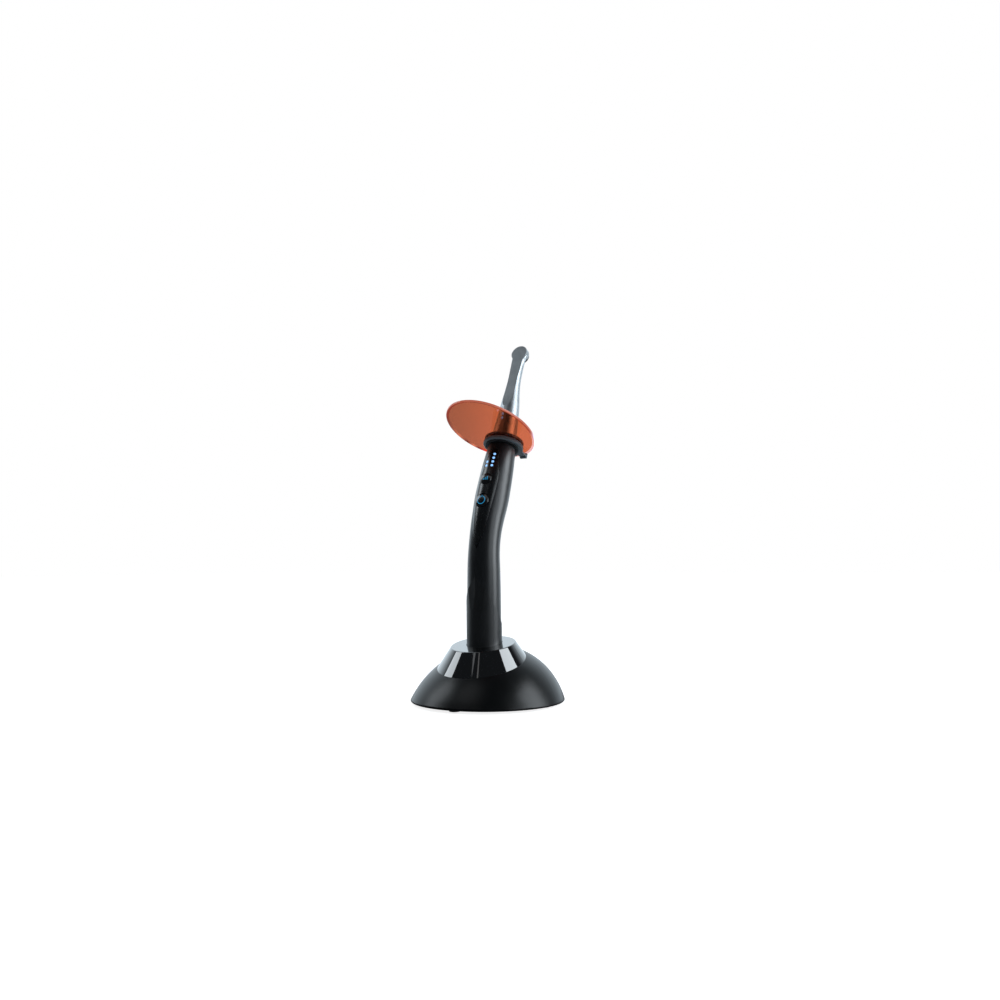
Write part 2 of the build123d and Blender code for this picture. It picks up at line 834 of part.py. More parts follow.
# Tail cap with the recesses of the charging contacts
with BuildPart() as tail_cap:
    with BuildSketch(spine_plane(0)):
        Circle(sleeve_radius)
    extrude(amount=tail_cap_flange)
    chamfer(tail_cap.edges().group_by(Axis.Z)[0], tail_edge_round)
    with BuildSketch(spine_plane(tail_cap_flange)):
        Circle(spigot_radius)
        Circle(spigot_radius - tail_cap_wall, mode=Mode.SUBTRACT)
    extrude(amount=tail_cap_length - tail_cap_flange)
    with BuildSketch(spine_plane(0)):
        with Locations((-pin_pitch / 2, 0), (pin_pitch / 2, 0)):
            Circle(pad_radius + press_gap)
    extrude(amount=pad_recess + pad_thickness, mode=Mode.SUBTRACT)
tail_cap.part.label = "tail_cap"
export_step(tail_cap.part, "parts/tail_cap.step")

# Charging contact discs
with BuildPart() as charge_pads:
    with BuildSketch(spine_plane(pad_recess)):
        with Locations((-pin_pitch / 2, 0), (pin_pitch / 2, 0)):
            Circle(pad_radius)
    extrude(amount=pad_thickness)
charge_pads.part.label = "charge_pads"
export_step(charge_pads.part, "parts/charge_pads.step")

# Small board that closes the tail cap and carries the battery spring
with BuildPart() as tail_board:
    with BuildSketch(spine_plane(tail_cap_length)):
        Circle(spigot_bore - trim_gap)
    extrude(amount=tail_board_thickness)
tail_board.part.label = "tail_board"
export_step(tail_board.part, "parts/tail_board.step")

# Battery spring, cell and contact
spring_start = tail_cap_length + tail_board_thickness + battery_spring_wire / 2
spring_height = cell_start - battery_spring_wire / 2 - press_gap - spring_start
battery_spring = coil(
    spine_plane(spring_start), battery_spring_radius, battery_spring_wire,
    battery_spring_turns, spring_height,
)
battery_spring.label = "battery_spring"
export_step(battery_spring, "parts/battery_spring.step")

with BuildPart() as battery_cell:
    with BuildSketch(spine_plane(cell_start)):
        Circle(cell_radius)
    extrude(amount=cell_length)
    fillet(battery_cell.edges().filter_by(GeomType.CIRCLE), cell_edge_round)
    with BuildSketch(spine_plane(cell_start + cell_length)):
        Circle(cell_nub_radius)
    extrude(amount=cell_nub_height)
battery_cell.part.label = "battery_cell"
export_step(battery_cell.part, "parts/battery_cell.step")

contact_start = cell_start + cell_length + cell_nub_height
with BuildPart() as battery_contact:
    with BuildSketch(spine_plane(contact_start)):
        Circle(battery_contact_radius)
    extrude(amount=battery_contact_thickness)
battery_contact.part.label = "battery_contact"
export_step(battery_contact.part, "parts/battery_contact.step")

# Moulded tube round the cell
cradle_end = contact_start + battery_contact_thickness + cradle_cap
with BuildPart() as battery_cradle:
    with BuildSketch(spine_plane(cradle_start)):
        Circle(cell_radius + 2 * trim_gap + cradle_wall)
    extrude(amount=cradle_end - cradle_start)
    with BuildSketch(spine_plane(cradle_start)):
        Circle(cell_radius + 2 * trim_gap)
    extrude(amount=cradle_end - cradle_cap - cradle_start, mode=Mode.SUBTRACT)
    with BuildSketch(spine_plane(cradle_end - cradle_cap)):
        with Locations((-lead_spread, -lead_out), (lead_spread, -lead_out)):
            Circle(lead_radius + trim_gap)
    extrude(amount=cradle_cap, mode=Mode.SUBTRACT)
battery_cradle.part.label = "battery_cradle"
export_step(battery_cradle.part, "parts/battery_cradle.step")

# Two leads from the battery contact round the bend to the control board
with BuildPart() as battery_leads:
    for side in (-1, 1):
        with BuildLine(Plane.YZ.offset(side * lead_spread)) as lead_path:
            low = (grip_y - lead_out, tail_height + cradle_end - cradle_cap)
            foot = Line(low, (grip_y - lead_out, tail_height + bend_start))
            turn = JernArc(foot @ 1, (0, 1), bend_radius + lead_out, -lean)
            Line(turn @ 1, turn @ 1 + (turn % 1) * (board_start - trim_gap - bend_end))
        with BuildSketch(Plane(origin=lead_path.line @ 0, z_dir=(0, 0, 1))):
            Circle(lead_radius)
        sweep(path=lead_path.line)
battery_leads.part.label = "battery_leads"
export_step(battery_leads.part, "parts/battery_leads.step")

# Gloss control panel
with BuildPart() as control_panel:
    add(ridge_form(0))
    add(leaf_prism(0), mode=Mode.INTERSECT)
    add(grip_form(panel_depth), mode=Mode.SUBTRACT)
    for reach, across in light_spots:
        with BuildSketch(outward_plane(reach, light_inner, across)):
            Circle(light_radius + press_gap)
        extrude(amount=2 * sleeve_radius, mode=Mode.SUBTRACT)
    for reach, radius in ((power_reach, power_radius), (mode_reach, mode_radius)):
        with BuildSketch(outward_plane(reach, light_inner)):
            Circle(radius + button_gap)
        extrude(amount=2 * sleeve_radius, mode=Mode.SUBTRACT)
control_panel.part.label = "control_panel"
export_step(control_panel.part, "parts/control_panel.step")

# Light pipes of the indicator
with BuildPart() as indicator_lights:
    for reach, across in light_spots:
        with BuildSketch(outward_plane(reach, light_inner, across)):
            Circle(light_radius)
        extrude(amount=sleeve_radius)
    add(ridge_form(light_proud), mode=Mode.INTERSECT)
indicator_lights.part.label = "indicator_lights"
export_step(indicator_lights.part, "parts/indicator_lights.step")

# Indicator chips on the control board
with BuildPart() as indicator_leds:
    for reach, across in light_spots:
        with BuildSketch(outward_plane(reach, board_front, across)):
            Rectangle(chip_led_size, chip_led_size)
        extrude(amount=chip_led_height)
indicator_leds.part.label = "indicator_leds"
export_step(indicator_leds.part, "parts/indicator_leds.step")

# Control board in the straight upper part of the grip
board_middle = (board_start + board_end) / 2
with BuildPart() as main_board:
    with BuildSketch(outward_plane(board_middle, board_front - board_thickness)):
        Rectangle(board_width, board_end - board_start)
    extrude(amount=board_thickness)
main_board.part.label = "main_board"
export_step(main_board.part, "parts/main_board.step")

# Carrier: a bar behind the board and two ribs that fit the shell's bore
with BuildPart() as board_carrier:
    carrier_front = board_front - board_thickness
    with BuildSketch(outward_plane(board_middle, carrier_front - carrier_bar_thickness)):
        Rectangle(carrier_bar_width, board_end - board_start)
    extrude(amount=carrier_bar_thickness)
    for rib in (board_start, board_end - carrier_rib_thickness):
        rib_radius = min(
            between(grip_outline, rib, 1), between(grip_outline, rib + carrier_rib_thickness, 1)
        ) - grip_wall - carrier_gap
        with BuildSketch(spine_plane(rib)):
            Circle(rib_radius)
            with Locations((0, -carrier_front)):
                Rectangle(
                    4 * rib_radius, 2 * rib_radius,
                    align=(Align.CENTER, Align.MAX), mode=Mode.SUBTRACT,
                )
        extrude(amount=carrier_rib_thickness)
board_carrier.part.label = "board_carrier"
export_step(board_carrier.part, "parts/board_carrier.step")

# Parts on the control board: controller, driver coil and connector
with BuildPart() as board_components:
    with BuildSketch(outward_plane(controller_reach, board_front)):
        Rectangle(controller_size, controller_size)
    extrude(amount=controller_height)
    with BuildSketch(outward_plane(board_start + driver_size / 2 + slide_gap, board_front)):
        RectangleRounded(driver_size, driver_size, driver_size / 8)
    extrude(amount=driver_height)
    with BuildSketch(outward_plane(board_end - connector_length / 2, board_front)):
        Rectangle(connector_width, connector_length)
    extrude(amount=connector_height)
board_components.part.label = "board_components"
export_step(board_components.part, "parts/board_components.step")

# Switches under the two buttons
with BuildPart() as button_switches:
    for reach in (power_reach, mode_reach):
        with BuildSketch(outward_plane(reach, board_front)):
            Rectangle(switch_size, switch_size)
        extrude(amount=switch_height)
        with BuildSketch(outward_plane(reach, board_front + switch_height)):
            Circle(switch_plunger_radius)
        extrude(amount=switch_plunger_height)
button_switches.part.label = "button_switches"
export_step(button_switches.part, "parts/button_switches.step")

# Beeper between the buttons
with BuildPart() as buzzer:
    with BuildSketch(outward_plane(buzzer_reach, board_front)):
        Circle(buzzer_radius)
    extrude(amount=buzzer_height)
    with BuildSketch(outward_plane(buzzer_reach, board_front + buzzer_height)):
        Circle(buzzer_hole_radius)
    extrude(amount=-buzzer_hole_depth, mode=Mode.SUBTRACT)
buzzer.part.label = "buzzer"
export_step(buzzer.part, "parts/buzzer.step")

# Symbols set into the two buttons
stem_end = board_front + switch_height + switch_plunger_height + stem_gap
power_cap = button_form(power_reach, power_radius)
mode_cap = button_form(mode_reach, mode_radius)


def mark_plane(reach, radius):
    """Floor of a button's symbol, under the sunken edge of the crown."""
    drop = button_crown - sqrt(button_crown**2 - radius**2)
    return outward_plane(reach, panel_top(reach) + button_proud - drop - mark_depth)


with BuildPart() as power_symbol:
    with BuildSketch(mark_plane(power_reach, mark_ring_radius)):
        Circle(mark_ring_radius)
        Circle(mark_ring_radius - mark_line, mode=Mode.SUBTRACT)
        with Locations((0, mark_ring_radius)):
            Rectangle(mark_ring_opening, mark_ring_radius, mode=Mode.SUBTRACT)
            Rectangle(mark_line, mark_bar_length)
    extrude(amount=button_height)

with BuildPart() as mode_symbol:
    with BuildSketch(mark_plane(mode_reach, level_bar_pitch + level_bar_width)):
        for number, height in enumerate(level_bar_heights):
            with Locations(((number - 1) * level_bar_pitch, (height - level_bar_heights[1]) / 2)):
                Rectangle(level_bar_width, height)
    extrude(amount=button_height)

with BuildPart() as power_button_mark:
    add(power_symbol.part)
    add(power_cap, mode=Mode.INTERSECT)
power_button_mark.part.label = "power_button_mark"
export_step(power_button_mark.part, "parts/power_button_mark.step")

with BuildPart() as mode_button_mark:
    add(mode_symbol.part)
    add(mode_cap, mode=Mode.INTERSECT)
mode_button_mark.part.label = "mode_button_mark"
export_step(mode_button_mark.part, "parts/mode_button_mark.step")

# Power button
with BuildPart() as power_button:
    add(power_cap)
    add(power_symbol.part, mode=Mode.SUBTRACT)
    with BuildSketch(outward_plane(power_reach, stem_end)):
        Circle(button_stem_radius)
    extrude(amount=panel_top(power_reach) + button_proud - button_height - stem_end)
power_button.part.label = "power_button"
export_step(power_button.part, "parts/power_button.step")

# Mode button
with BuildPart() as mode_button:
    add(mode_cap)
    add(mode_symbol.part, mode=Mode.SUBTRACT)
    with BuildSketch(outward_plane(mode_reach, stem_end)):
        Circle(button_stem_radius)
    extrude(amount=panel_top(mode_reach) + button_proud - button_height - stem_end)
mode_button.part.label = "mode_button"
export_step(mode_button.part, "parts/mode_button.step")

# Metal neck and head
spigot_outer = grip_outline[-1][1] - grip_wall - press_gap
seal_radius = between(grip_outline, seal_reach, 1) - grip_wall - press_gap - seal_wire / 2
with BuildPart() as head_shell:
    for reach, half_width, half_depth, middle in neck_outline:
        with BuildSketch(spine_plane(reach, -middle)):
            Ellipse(half_width, half_depth)
    loft()
    with BuildSketch(window_plane(head_reach, -head_back)):
        Circle(head_radius)
    extrude(amount=head_back + head_front)
    to_window = Axis((0, 0, 0), window_plane(head_reach, head_front).z_dir)
    rim = head_shell.edges().filter_by(GeomType.CIRCLE).sort_by(to_window)[-1]
    fillet(rim, head_edge_round)
    side_plane = Plane(
        origin=spine_plane(bend_end).origin, x_dir=spine_plane(bend_end).z_dir, z_dir=(-1, 0, 0)
    )
    with BuildSketch(side_plane):
        with BuildLine():
            top, start, end = [
                (up_neck(spot)[0] - bend_end, spot[1]) for spot in (flat_tip, flat_start, flat_runout)
            ]
            back_line = Line(top, start)
            TangentArc(start, end, tangent=back_line % 1)
            Polyline(end, (end[0], -2 * sleeve_radius), (top[0], -2 * sleeve_radius), top)
        make_face()
    extrude(amount=sleeve_radius, both=True, mode=Mode.SUBTRACT)
    with BuildSketch(spine_plane(grip_end - neck_spigot_length)):
        Circle(spigot_outer)
    extrude(amount=neck_spigot_length)
    for reach, radius, middle in neck_bore:
        with BuildSketch(spine_plane(reach, -middle)):
            Circle(radius)
    loft(mode=Mode.SUBTRACT)
    with BuildSketch(spine_plane(grip_end - neck_spigot_length)):
        Circle(spigot_outer - neck_spigot_wall)
    extrude(amount=neck_spigot_length + neck_spigot_wall, mode=Mode.SUBTRACT)
    with BuildSketch(window_plane(head_reach, pocket_floor)):
        Circle(pocket_radius)
    extrude(amount=head_radius, mode=Mode.SUBTRACT)
    with BuildSketch(spine_plane(seal_reach - seal_wire / 2 - press_gap)):
        Circle(spigot_outer + seal_wire)
        Circle(seal_radius - seal_wire / 2 - press_gap, mode=Mode.SUBTRACT)
    extrude(amount=seal_wire + 2 * press_gap, mode=Mode.SUBTRACT)
    for side in (-1, 1):
        with BuildSketch(Plane(spine_plane(grub_reach, 0, side * (grub_start - press_gap)).origin,
                               x_dir=(0, 1, 0), z_dir=(side, 0, 0))):
            Circle(grub_radius + screw_gap)
        extrude(amount=grub_length, mode=Mode.SUBTRACT)
head_shell.part.label = "head_shell"
export_step(head_shell.part, "parts/head_shell.step")

# Seal in the groove of the neck's spigot
with BuildPart() as neck_seal:
    with BuildLine(spine_plane(seal_reach)) as seal_path:
        CenterArc((0, 0), seal_radius, 0, 360)
    with BuildSketch(Plane(origin=seal_path.line @ 0, z_dir=seal_path.line % 0)):
        Circle(seal_wire / 2)
    sweep(path=seal_path.line)
neck_seal.part.label = "neck_seal"
export_step(neck_seal.part, "parts/neck_seal.step")

# Two grub screws that hold the neck in the shell
with BuildPart() as neck_screws:
    for side in (-1, 1):
        with BuildSketch(Plane(spine_plane(grub_reach, 0, side * grub_start).origin,
                               x_dir=(0, 1, 0), z_dir=(side, 0, 0))):
            Circle(grub_radius)
        extrude(amount=grub_length)
        with BuildSketch(Plane(spine_plane(grub_reach, 0, side * (grub_start + grub_length)).origin,
                               x_dir=(0, 1, 0), z_dir=(side, 0, 0))):
            RegularPolygon(grub_socket_radius, 6)
        extrude(amount=-grub_socket_depth, mode=Mode.SUBTRACT)
neck_screws.part.label = "neck_screws"
export_step(neck_screws.part, "parts/neck_screws.step")

# Metal heat spreader: disc behind the emitter, rod down the neck, block in the grip end
with BuildPart() as heat_spreader:
    with BuildSketch(spine_plane(spreader_block_start)):
        Circle(spreader_block_radius)
        with Locations((0, emitter_lead_middle - emitter_lead_radius - slide_gap)):
            Rectangle(
                spreader_slot_width, 2 * spreader_block_radius,
                align=(Align.CENTER, Align.MIN), mode=Mode.SUBTRACT,
            )
    extrude(amount=spreader_block_length)
    with BuildSketch(spine_plane(spreader_block_start, -spreader_rod_middle)):
        Circle(spreader_rod_radius)
    extrude(amount=neck_bore[-1][0] - press_gap - spreader_block_start)
    with BuildSketch(window_plane(head_reach, pocket_floor + press_gap)):
        Circle(pocket_radius - trim_gap)
    extrude(amount=spreader_disc_thickness)
heat_spreader.part.label = "heat_spreader"
export_step(heat_spreader.part, "parts/heat_spreader.step")

# Light unit: board, emitter, reflector, lens and its ring
board_floor = pocket_floor + press_gap + spreader_disc_thickness
emitter_floor = board_floor + emitter_board_thickness
with BuildPart() as emitter_board:
    with BuildSketch(window_plane(head_reach, board_floor)):
        Circle(pocket_radius - trim_gap)
    extrude(amount=emitter_board_thickness)
emitter_board.part.label = "emitter_board"
export_step(emitter_board.part, "parts/emitter_board.step")

with BuildPart() as emitter_led:
    with BuildSketch(window_plane(head_reach, emitter_floor)):
        Rectangle(emitter_size, emitter_size)
    extrude(amount=emitter_height)
emitter_led.part.label = "emitter_led"
export_step(emitter_led.part, "parts/emitter_led.step")

with BuildPart(window_plane(head_reach, emitter_floor)) as reflector:
    Cylinder(pocket_radius - trim_gap, reflector_height, align=stand_on)
    Cone(
        reflector_throat_radius, reflector_mouth_radius, reflector_height,
        align=stand_on, mode=Mode.SUBTRACT,
    )
reflector.part.label = "reflector"
export_step(reflector.part, "parts/reflector.step")

lens_floor = emitter_floor + reflector_height + press_gap
lens_radius = ring_bore_radius - press_gap
lens_curve = (lens_radius**2 + lens_dome_height**2) / (2 * lens_dome_height)
with BuildPart(window_plane(head_reach, lens_floor)) as light_lens:
    Cylinder(lens_radius, lens_thickness + lens_dome_height, align=stand_on)
    with Locations((0, 0, lens_thickness + lens_dome_height - lens_curve)):
        Sphere(lens_curve, mode=Mode.INTERSECT)
light_lens.part.label = "light_lens"
export_step(light_lens.part, "parts/light_lens.step")

with BuildPart() as head_window_ring:
    with BuildSketch(window_plane(head_reach, head_front)):
        Circle(ring_radius)
        Circle(ring_bore_radius, mode=Mode.SUBTRACT)
    extrude(amount=ring_proud)
    ring_rims = head_window_ring.edges().filter_by(GeomType.CIRCLE).group_by(to_window)[-1]
    fillet(ring_rims, ring_edge_round)
head_window_ring.part.label = "head_window_ring"
export_step(head_window_ring.part, "parts/head_window_ring.step")

# Two leads from the control board up the neck to the emitter board
board_exit = board_end + trim_gap
emitter_entry = head_reach - pocket_radius
with BuildPart() as emitter_leads:
    for side in (-1, 1):
        run = Plane(
            origin=spine_plane(bend_end, 0, side * emitter_lead_spread).origin,
            x_dir=spine_plane(bend_end).z_dir,
            z_dir=(-1, 0, 0),
        )
        with BuildLine(run) as lead_run:
            FilletPolyline(
                (board_exit - bend_end, -lead_out),
                (board_exit + emitter_lead_bend - bend_end, -lead_out),
                (grip_end - bend_end, emitter_lead_middle),
                (emitter_entry - bend_end, emitter_lead_middle),
                radius=emitter_lead_bend,
            )
        with BuildSketch(Plane(origin=lead_run.line @ 0, z_dir=lead_run.line % 0)):
            Circle(emitter_lead_radius)
        sweep(path=lead_run.line)
emitter_leads.part.label = "emitter_leads"
export_step(emitter_leads.part, "parts/emitter_leads.step")

# Soft bush that grips the neck and carries the shield
liner_start = shield_seat - liner_lip_thickness - seat_gap
with BuildPart() as collar_liner:
    with BuildSketch(spine_plane(liner_start)):
        Circle(liner_radius)
    extrude(amount=collar_end - slide_gap - liner_start)
    with BuildSketch(spine_plane(liner_start)):
        Circle(liner_lip_radius)
    extrude(amount=liner_lip_thickness)
    for reach in (liner_start - liner_grip_gap, grip_end, collar_end):
        outline = grip_outline if reach < grip_end else neck_outline
        with BuildSketch(spine_plane(reach)):
            Circle(between(outline, reach, 1) + liner_grip_gap)
    loft(ruled=True, mode=Mode.SUBTRACT)
collar_liner.part.label = "collar_liner"
export_step(collar_liner.part, "parts/collar_liner.step")

# Lower flange of the shield with its hub and catch lug
with BuildPart() as shield_collar:
    with BuildSketch(spine_plane(shield_seat)):
        with Locations((0, flange_offset)):
            Circle(lower_flange_radius)
    extrude(amount=lower_flange_thickness)
    fillet(shield_collar.edges(), collar_edge_round)
    with BuildSketch(spine_plane(shield_start)):
        Circle(hub_radius)
    extrude(amount=shield_thickness)
    with BuildSketch(spine_plane(shield_seat)):
        with Locations((lug_side, 0)):
            Rectangle(lug_width, lug_reach, align=(Align.CENTER, Align.MIN))
    extrude(amount=lug_plate_thickness)
    with BuildSketch(spine_plane(shield_seat - lug_drop)):
        with Locations((lug_side, lug_reach - lug_lip_thickness / 2)):
            Rectangle(lug_width, lug_lip_thickness)
    extrude(amount=lower_flange_thickness + lug_drop)
    with BuildSketch(spine_plane(shield_seat)):
        Circle(liner_bore)
    extrude(amount=shield_end - shield_seat, mode=Mode.SUBTRACT)
shield_collar.part.label = "shield_collar"
export_step(shield_collar.part, "parts/shield_collar.step")

# Orange glare shield
with BuildPart() as light_shield:
    with BuildSketch(spine_plane(shield_start)):
        with Locations((0, shield_offset)):
            Ellipse(shield_half_width, shield_half_length)
    extrude(amount=shield_thickness)
    fillet(light_shield.edges().filter_by(GeomType.ELLIPSE), shield_edge_round)
    with BuildSketch(spine_plane(shield_start)):
        Circle(hub_radius + press_gap)
    extrude(amount=shield_thickness, mode=Mode.SUBTRACT)
light_shield.part.label = "light_shield"
export_step(light_shield.part, "parts/light_shield.step")

# Upper flange that clamps the shield
with BuildPart() as shield_clamp_ring:
    with BuildSketch(spine_plane(shield_end)):
        with Locations((0, flange_offset)):
            Circle(upper_flange_radius)
    extrude(amount=upper_flange_thickness)
    fillet(shield_clamp_ring.edges(), shield_edge_round)
    with BuildSketch(spine_plane(shield_end)):
        Circle(liner_bore)
    extrude(amount=upper_flange_thickness, mode=Mode.SUBTRACT)
shield_clamp_ring.part.label = "shield_clamp_ring"
export_step(shield_clamp_ring.part, "parts/shield_clamp_ring.step")

# Least gaps inside the two kinds of coil
for name, height, turns, wire in (
    ("battery_spring", spring_height, battery_spring_turns, battery_spring_wire),
    ("charge_pin_spring", coil_height, pin_spring_turns, pin_spring_wire),
):
    print(name, "least gap between turns", round(height / turns - wire, 3), "mm")
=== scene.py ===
"""Finishes, fine pieces, studio and camera of a dental curing light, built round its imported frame."""

import logging
import math
from dataclasses import dataclass, field
from enum import Enum

import bpy
from mathutils import Matrix, Quaternion, Vector


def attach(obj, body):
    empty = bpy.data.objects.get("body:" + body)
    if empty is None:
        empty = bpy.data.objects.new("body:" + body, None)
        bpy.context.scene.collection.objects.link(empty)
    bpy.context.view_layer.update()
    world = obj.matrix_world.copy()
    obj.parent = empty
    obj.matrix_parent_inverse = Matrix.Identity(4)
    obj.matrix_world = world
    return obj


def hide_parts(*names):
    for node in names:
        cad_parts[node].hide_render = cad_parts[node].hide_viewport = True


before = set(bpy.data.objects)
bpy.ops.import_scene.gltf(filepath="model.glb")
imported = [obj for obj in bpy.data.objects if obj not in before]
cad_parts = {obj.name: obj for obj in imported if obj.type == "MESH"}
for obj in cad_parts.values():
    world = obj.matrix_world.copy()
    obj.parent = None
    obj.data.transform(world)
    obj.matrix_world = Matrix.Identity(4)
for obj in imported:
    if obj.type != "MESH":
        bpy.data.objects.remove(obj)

log = logging.getLogger("curing_light")

Color = tuple[float, float, float]

LEAN = math.radians(22.3)
SLEEVE_AXIS_Y = -0.0043
BEND_CORNER_Z = 0.1245
CORNER_REACH = 0.09993

ACROSS_WAY = Vector((0.866, 0.5, 0.0))
DEPTH_WAY = Vector((-0.5, 0.866, 0.0))

NECK_GRAIN_STRETCH = 0.03
NOISE_LOW = 0.3
NOISE_HIGH = 0.7


def upper_matrix(reach: float, across: float = 0.0, towards_window: float = 0.0) -> Matrix:
    """Place on the leaning upper centre line of the handpiece.

    Args:
        reach: distance along the centre line from the tail, in metres.
        across: offset along X, in metres.
        towards_window: offset towards the window side, in metres.

    Returns:
        A matrix whose z runs up the centre line and whose y points to the window side.
    """
    rise = reach - CORNER_REACH
    middle = Vector((across, SLEEVE_AXIS_Y + rise * math.sin(LEAN), BEND_CORNER_Z + rise * math.cos(LEAN)))
    turned = Matrix.Rotation(-LEAN, 4, "X")
    return Matrix.Translation(middle) @ turned @ Matrix.Translation((0.0, towards_window, 0.0))


class Pattern(Enum):
    """How the fine grain of a finish runs."""

    EVEN = "even"
    ALONG_NECK = "along_neck"


class NodeBench:
    """A small bench for wiring one material's nodes."""

    def __init__(self, name: str) -> None:
        """Makes an empty material with its shader and output.

        Args:
            name: the material's name.
        """
        self.material = bpy.data.materials.new(name)
        self.material.use_nodes = True
        self.tree = self.material.node_tree
        self.shader = self.tree.nodes["Principled BSDF"]
        self.place = self.tree.nodes.new("ShaderNodeTexCoord").outputs["Object"]

    def put(self, kind: str, **settings: object) -> bpy.types.Node:
        """Adds a node and sets its properties.

        Args:
            kind: the node's type name.
            settings: properties by name.

        Returns:
            The new node.
        """
        node = self.tree.nodes.new(kind)
        for key, value in settings.items():
            setattr(node, key, value)
        return node

    def join(self, source: bpy.types.NodeSocket, target: bpy.types.NodeSocket) -> None:
        """Links one socket to another."""
        self.tree.links.new(source, target)

    def noise(self, size: float, detail: float, pattern: Pattern = Pattern.EVEN) -> bpy.types.NodeSocket:
        """Noise with features of a real size on object coordinates.

        Args:
            size: feature size in metres.
            detail: octaves of finer detail.
            pattern: how the grain is stretched.

        Returns:
            The noise's value socket.
        """
        stretch = self.put("ShaderNodeMapping")
        self.join(self.place, stretch.inputs["Vector"])
        if pattern is Pattern.ALONG_NECK:
            stretch.inputs["Rotation"].default_value = (LEAN, 0.0, 0.0)
            stretch.inputs["Scale"].default_value = (1.0, 1.0, NECK_GRAIN_STRETCH)
        texture = self.put("ShaderNodeTexNoise")
        texture.inputs["Scale"].default_value = 1.0 / size
        texture.inputs["Detail"].default_value = detail
        self.join(stretch.outputs["Vector"], texture.inputs["Vector"])
        return texture.outputs["Fac"]

    def span(self, source: bpy.types.NodeSocket, low: float, high: float) -> bpy.types.NodeSocket:
        """Maps a noise value to a span.

        Args:
            source: the noise socket.
            low: result where the noise is low.
            high: result where the noise is high.

        Returns:
            The mapped value socket.
        """
        mapped = self.put("ShaderNodeMapRange")
        mapped.inputs["From Min"].default_value = NOISE_LOW
        mapped.inputs["From Max"].default_value = NOISE_HIGH
        mapped.inputs["To Min"].default_value = low
        mapped.inputs["To Max"].default_value = high
        self.join(source, mapped.inputs["Value"])
        return mapped.outputs["Result"]

    def across(self, low: float, high: float, way: Vector = ACROSS_WAY) -> bpy.types.NodeSocket:
        """Value that runs from 0 to 1 across the piece.

        Args:
            low: place along the way where it is 0, in metres.
            high: place along the way where it is 1, in metres.
            way: direction of the run.

        Returns:
            The value socket.
        """
        along = self.put("ShaderNodeVectorMath", operation="DOT_PRODUCT")
        along.inputs[1].default_value = way
        self.join(self.place, along.inputs[0])
        mapped = self.put("ShaderNodeMapRange", interpolation_type="SMOOTHSTEP")
        mapped.inputs["From Min"].default_value = low
        mapped.inputs["From Max"].default_value = high
        self.join(along.outputs["Value"], mapped.inputs["Value"])
        return mapped.outputs["Result"]

    def tint(self, source: bpy.types.NodeSocket, first: Color, second: Color) -> bpy.types.NodeSocket:
        """Mixes two colours by a value.

        Args:
            source: the mixing value.
            first: colour at 0.
            second: colour at 1.

        Returns:
            The mixed colour socket.
        """
        mix = self.put("ShaderNodeMix", data_type="RGBA")
        mix.inputs["A"].default_value = (*first, 1.0)
        mix.inputs["B"].default_value = (*second, 1.0)
        self.join(source, mix.inputs["Factor"])
        return mix.outputs["Result"]

    def emboss(self, source: bpy.types.NodeSocket, depth: float) -> None:
        """Turns a value into fine relief on the shader.

        Args:
            source: height value.
            depth: real height of the relief in metres.
        """
        bump = self.put("ShaderNodeBump")
        bump.inputs["Distance"].default_value = depth
        self.join(source, bump.inputs["Height"])
        self.join(bump.outputs["Normal"], self.shader.inputs["Normal"])


def shaded(color: Color, share: float) -> Color:
    """A colour made darker or lighter by a share."""
    return tuple(min(1.0, c * share) for c in color)


@dataclass(frozen=True)
class MouldedPlastic:
    """Moulded plastic with a spark-eroded grain and handling wear.

    Attributes are the finish's name, colour and roughness, the size and depth of its grain, how
    far wear spreads the roughness, its clear coat and its shine. The last ones say how large the
    worn patches are, how far they darken or lighten the colour and how smooth they may get.
    """

    name: str
    color: Color
    roughness: float
    grain: float = 0.0004
    depth: float = 0.000004
    spread: float = 0.05
    coat: float = 0.0
    coat_roughness: float = 0.05
    specular: float = 0.5
    coat_index: float = 1.5
    wear_size: float = 0.012
    darker: float = 0.86
    lighter: float = 1.14
    smoothest: float = 0.01

    def make(self) -> bpy.types.Material:
        """Builds the material.

        Returns:
            The finished material.
        """
        bench = NodeBench(self.name)
        wear = bench.noise(self.wear_size, 3.0)
        fine = bench.noise(self.grain, 2.0)
        dark, pale = shaded(self.color, self.darker), shaded(self.color, self.lighter)
        colour = bench.tint(bench.span(wear, 0.0, 1.0), dark, pale)
        bench.join(colour, bench.shader.inputs["Base Color"])
        smooth = max(self.roughness - self.spread, self.smoothest)
        rough = bench.span(wear, smooth, self.roughness + self.spread)
        bench.join(rough, bench.shader.inputs["Roughness"])
        bench.shader.inputs["Specular IOR Level"].default_value = self.specular
        bench.shader.inputs["Coat Weight"].default_value = self.coat
        bench.shader.inputs["Coat Roughness"].default_value = self.coat_roughness
        bench.shader.inputs["Coat IOR"].default_value = self.coat_index
        bench.emboss(fine, self.depth)
        return bench.material


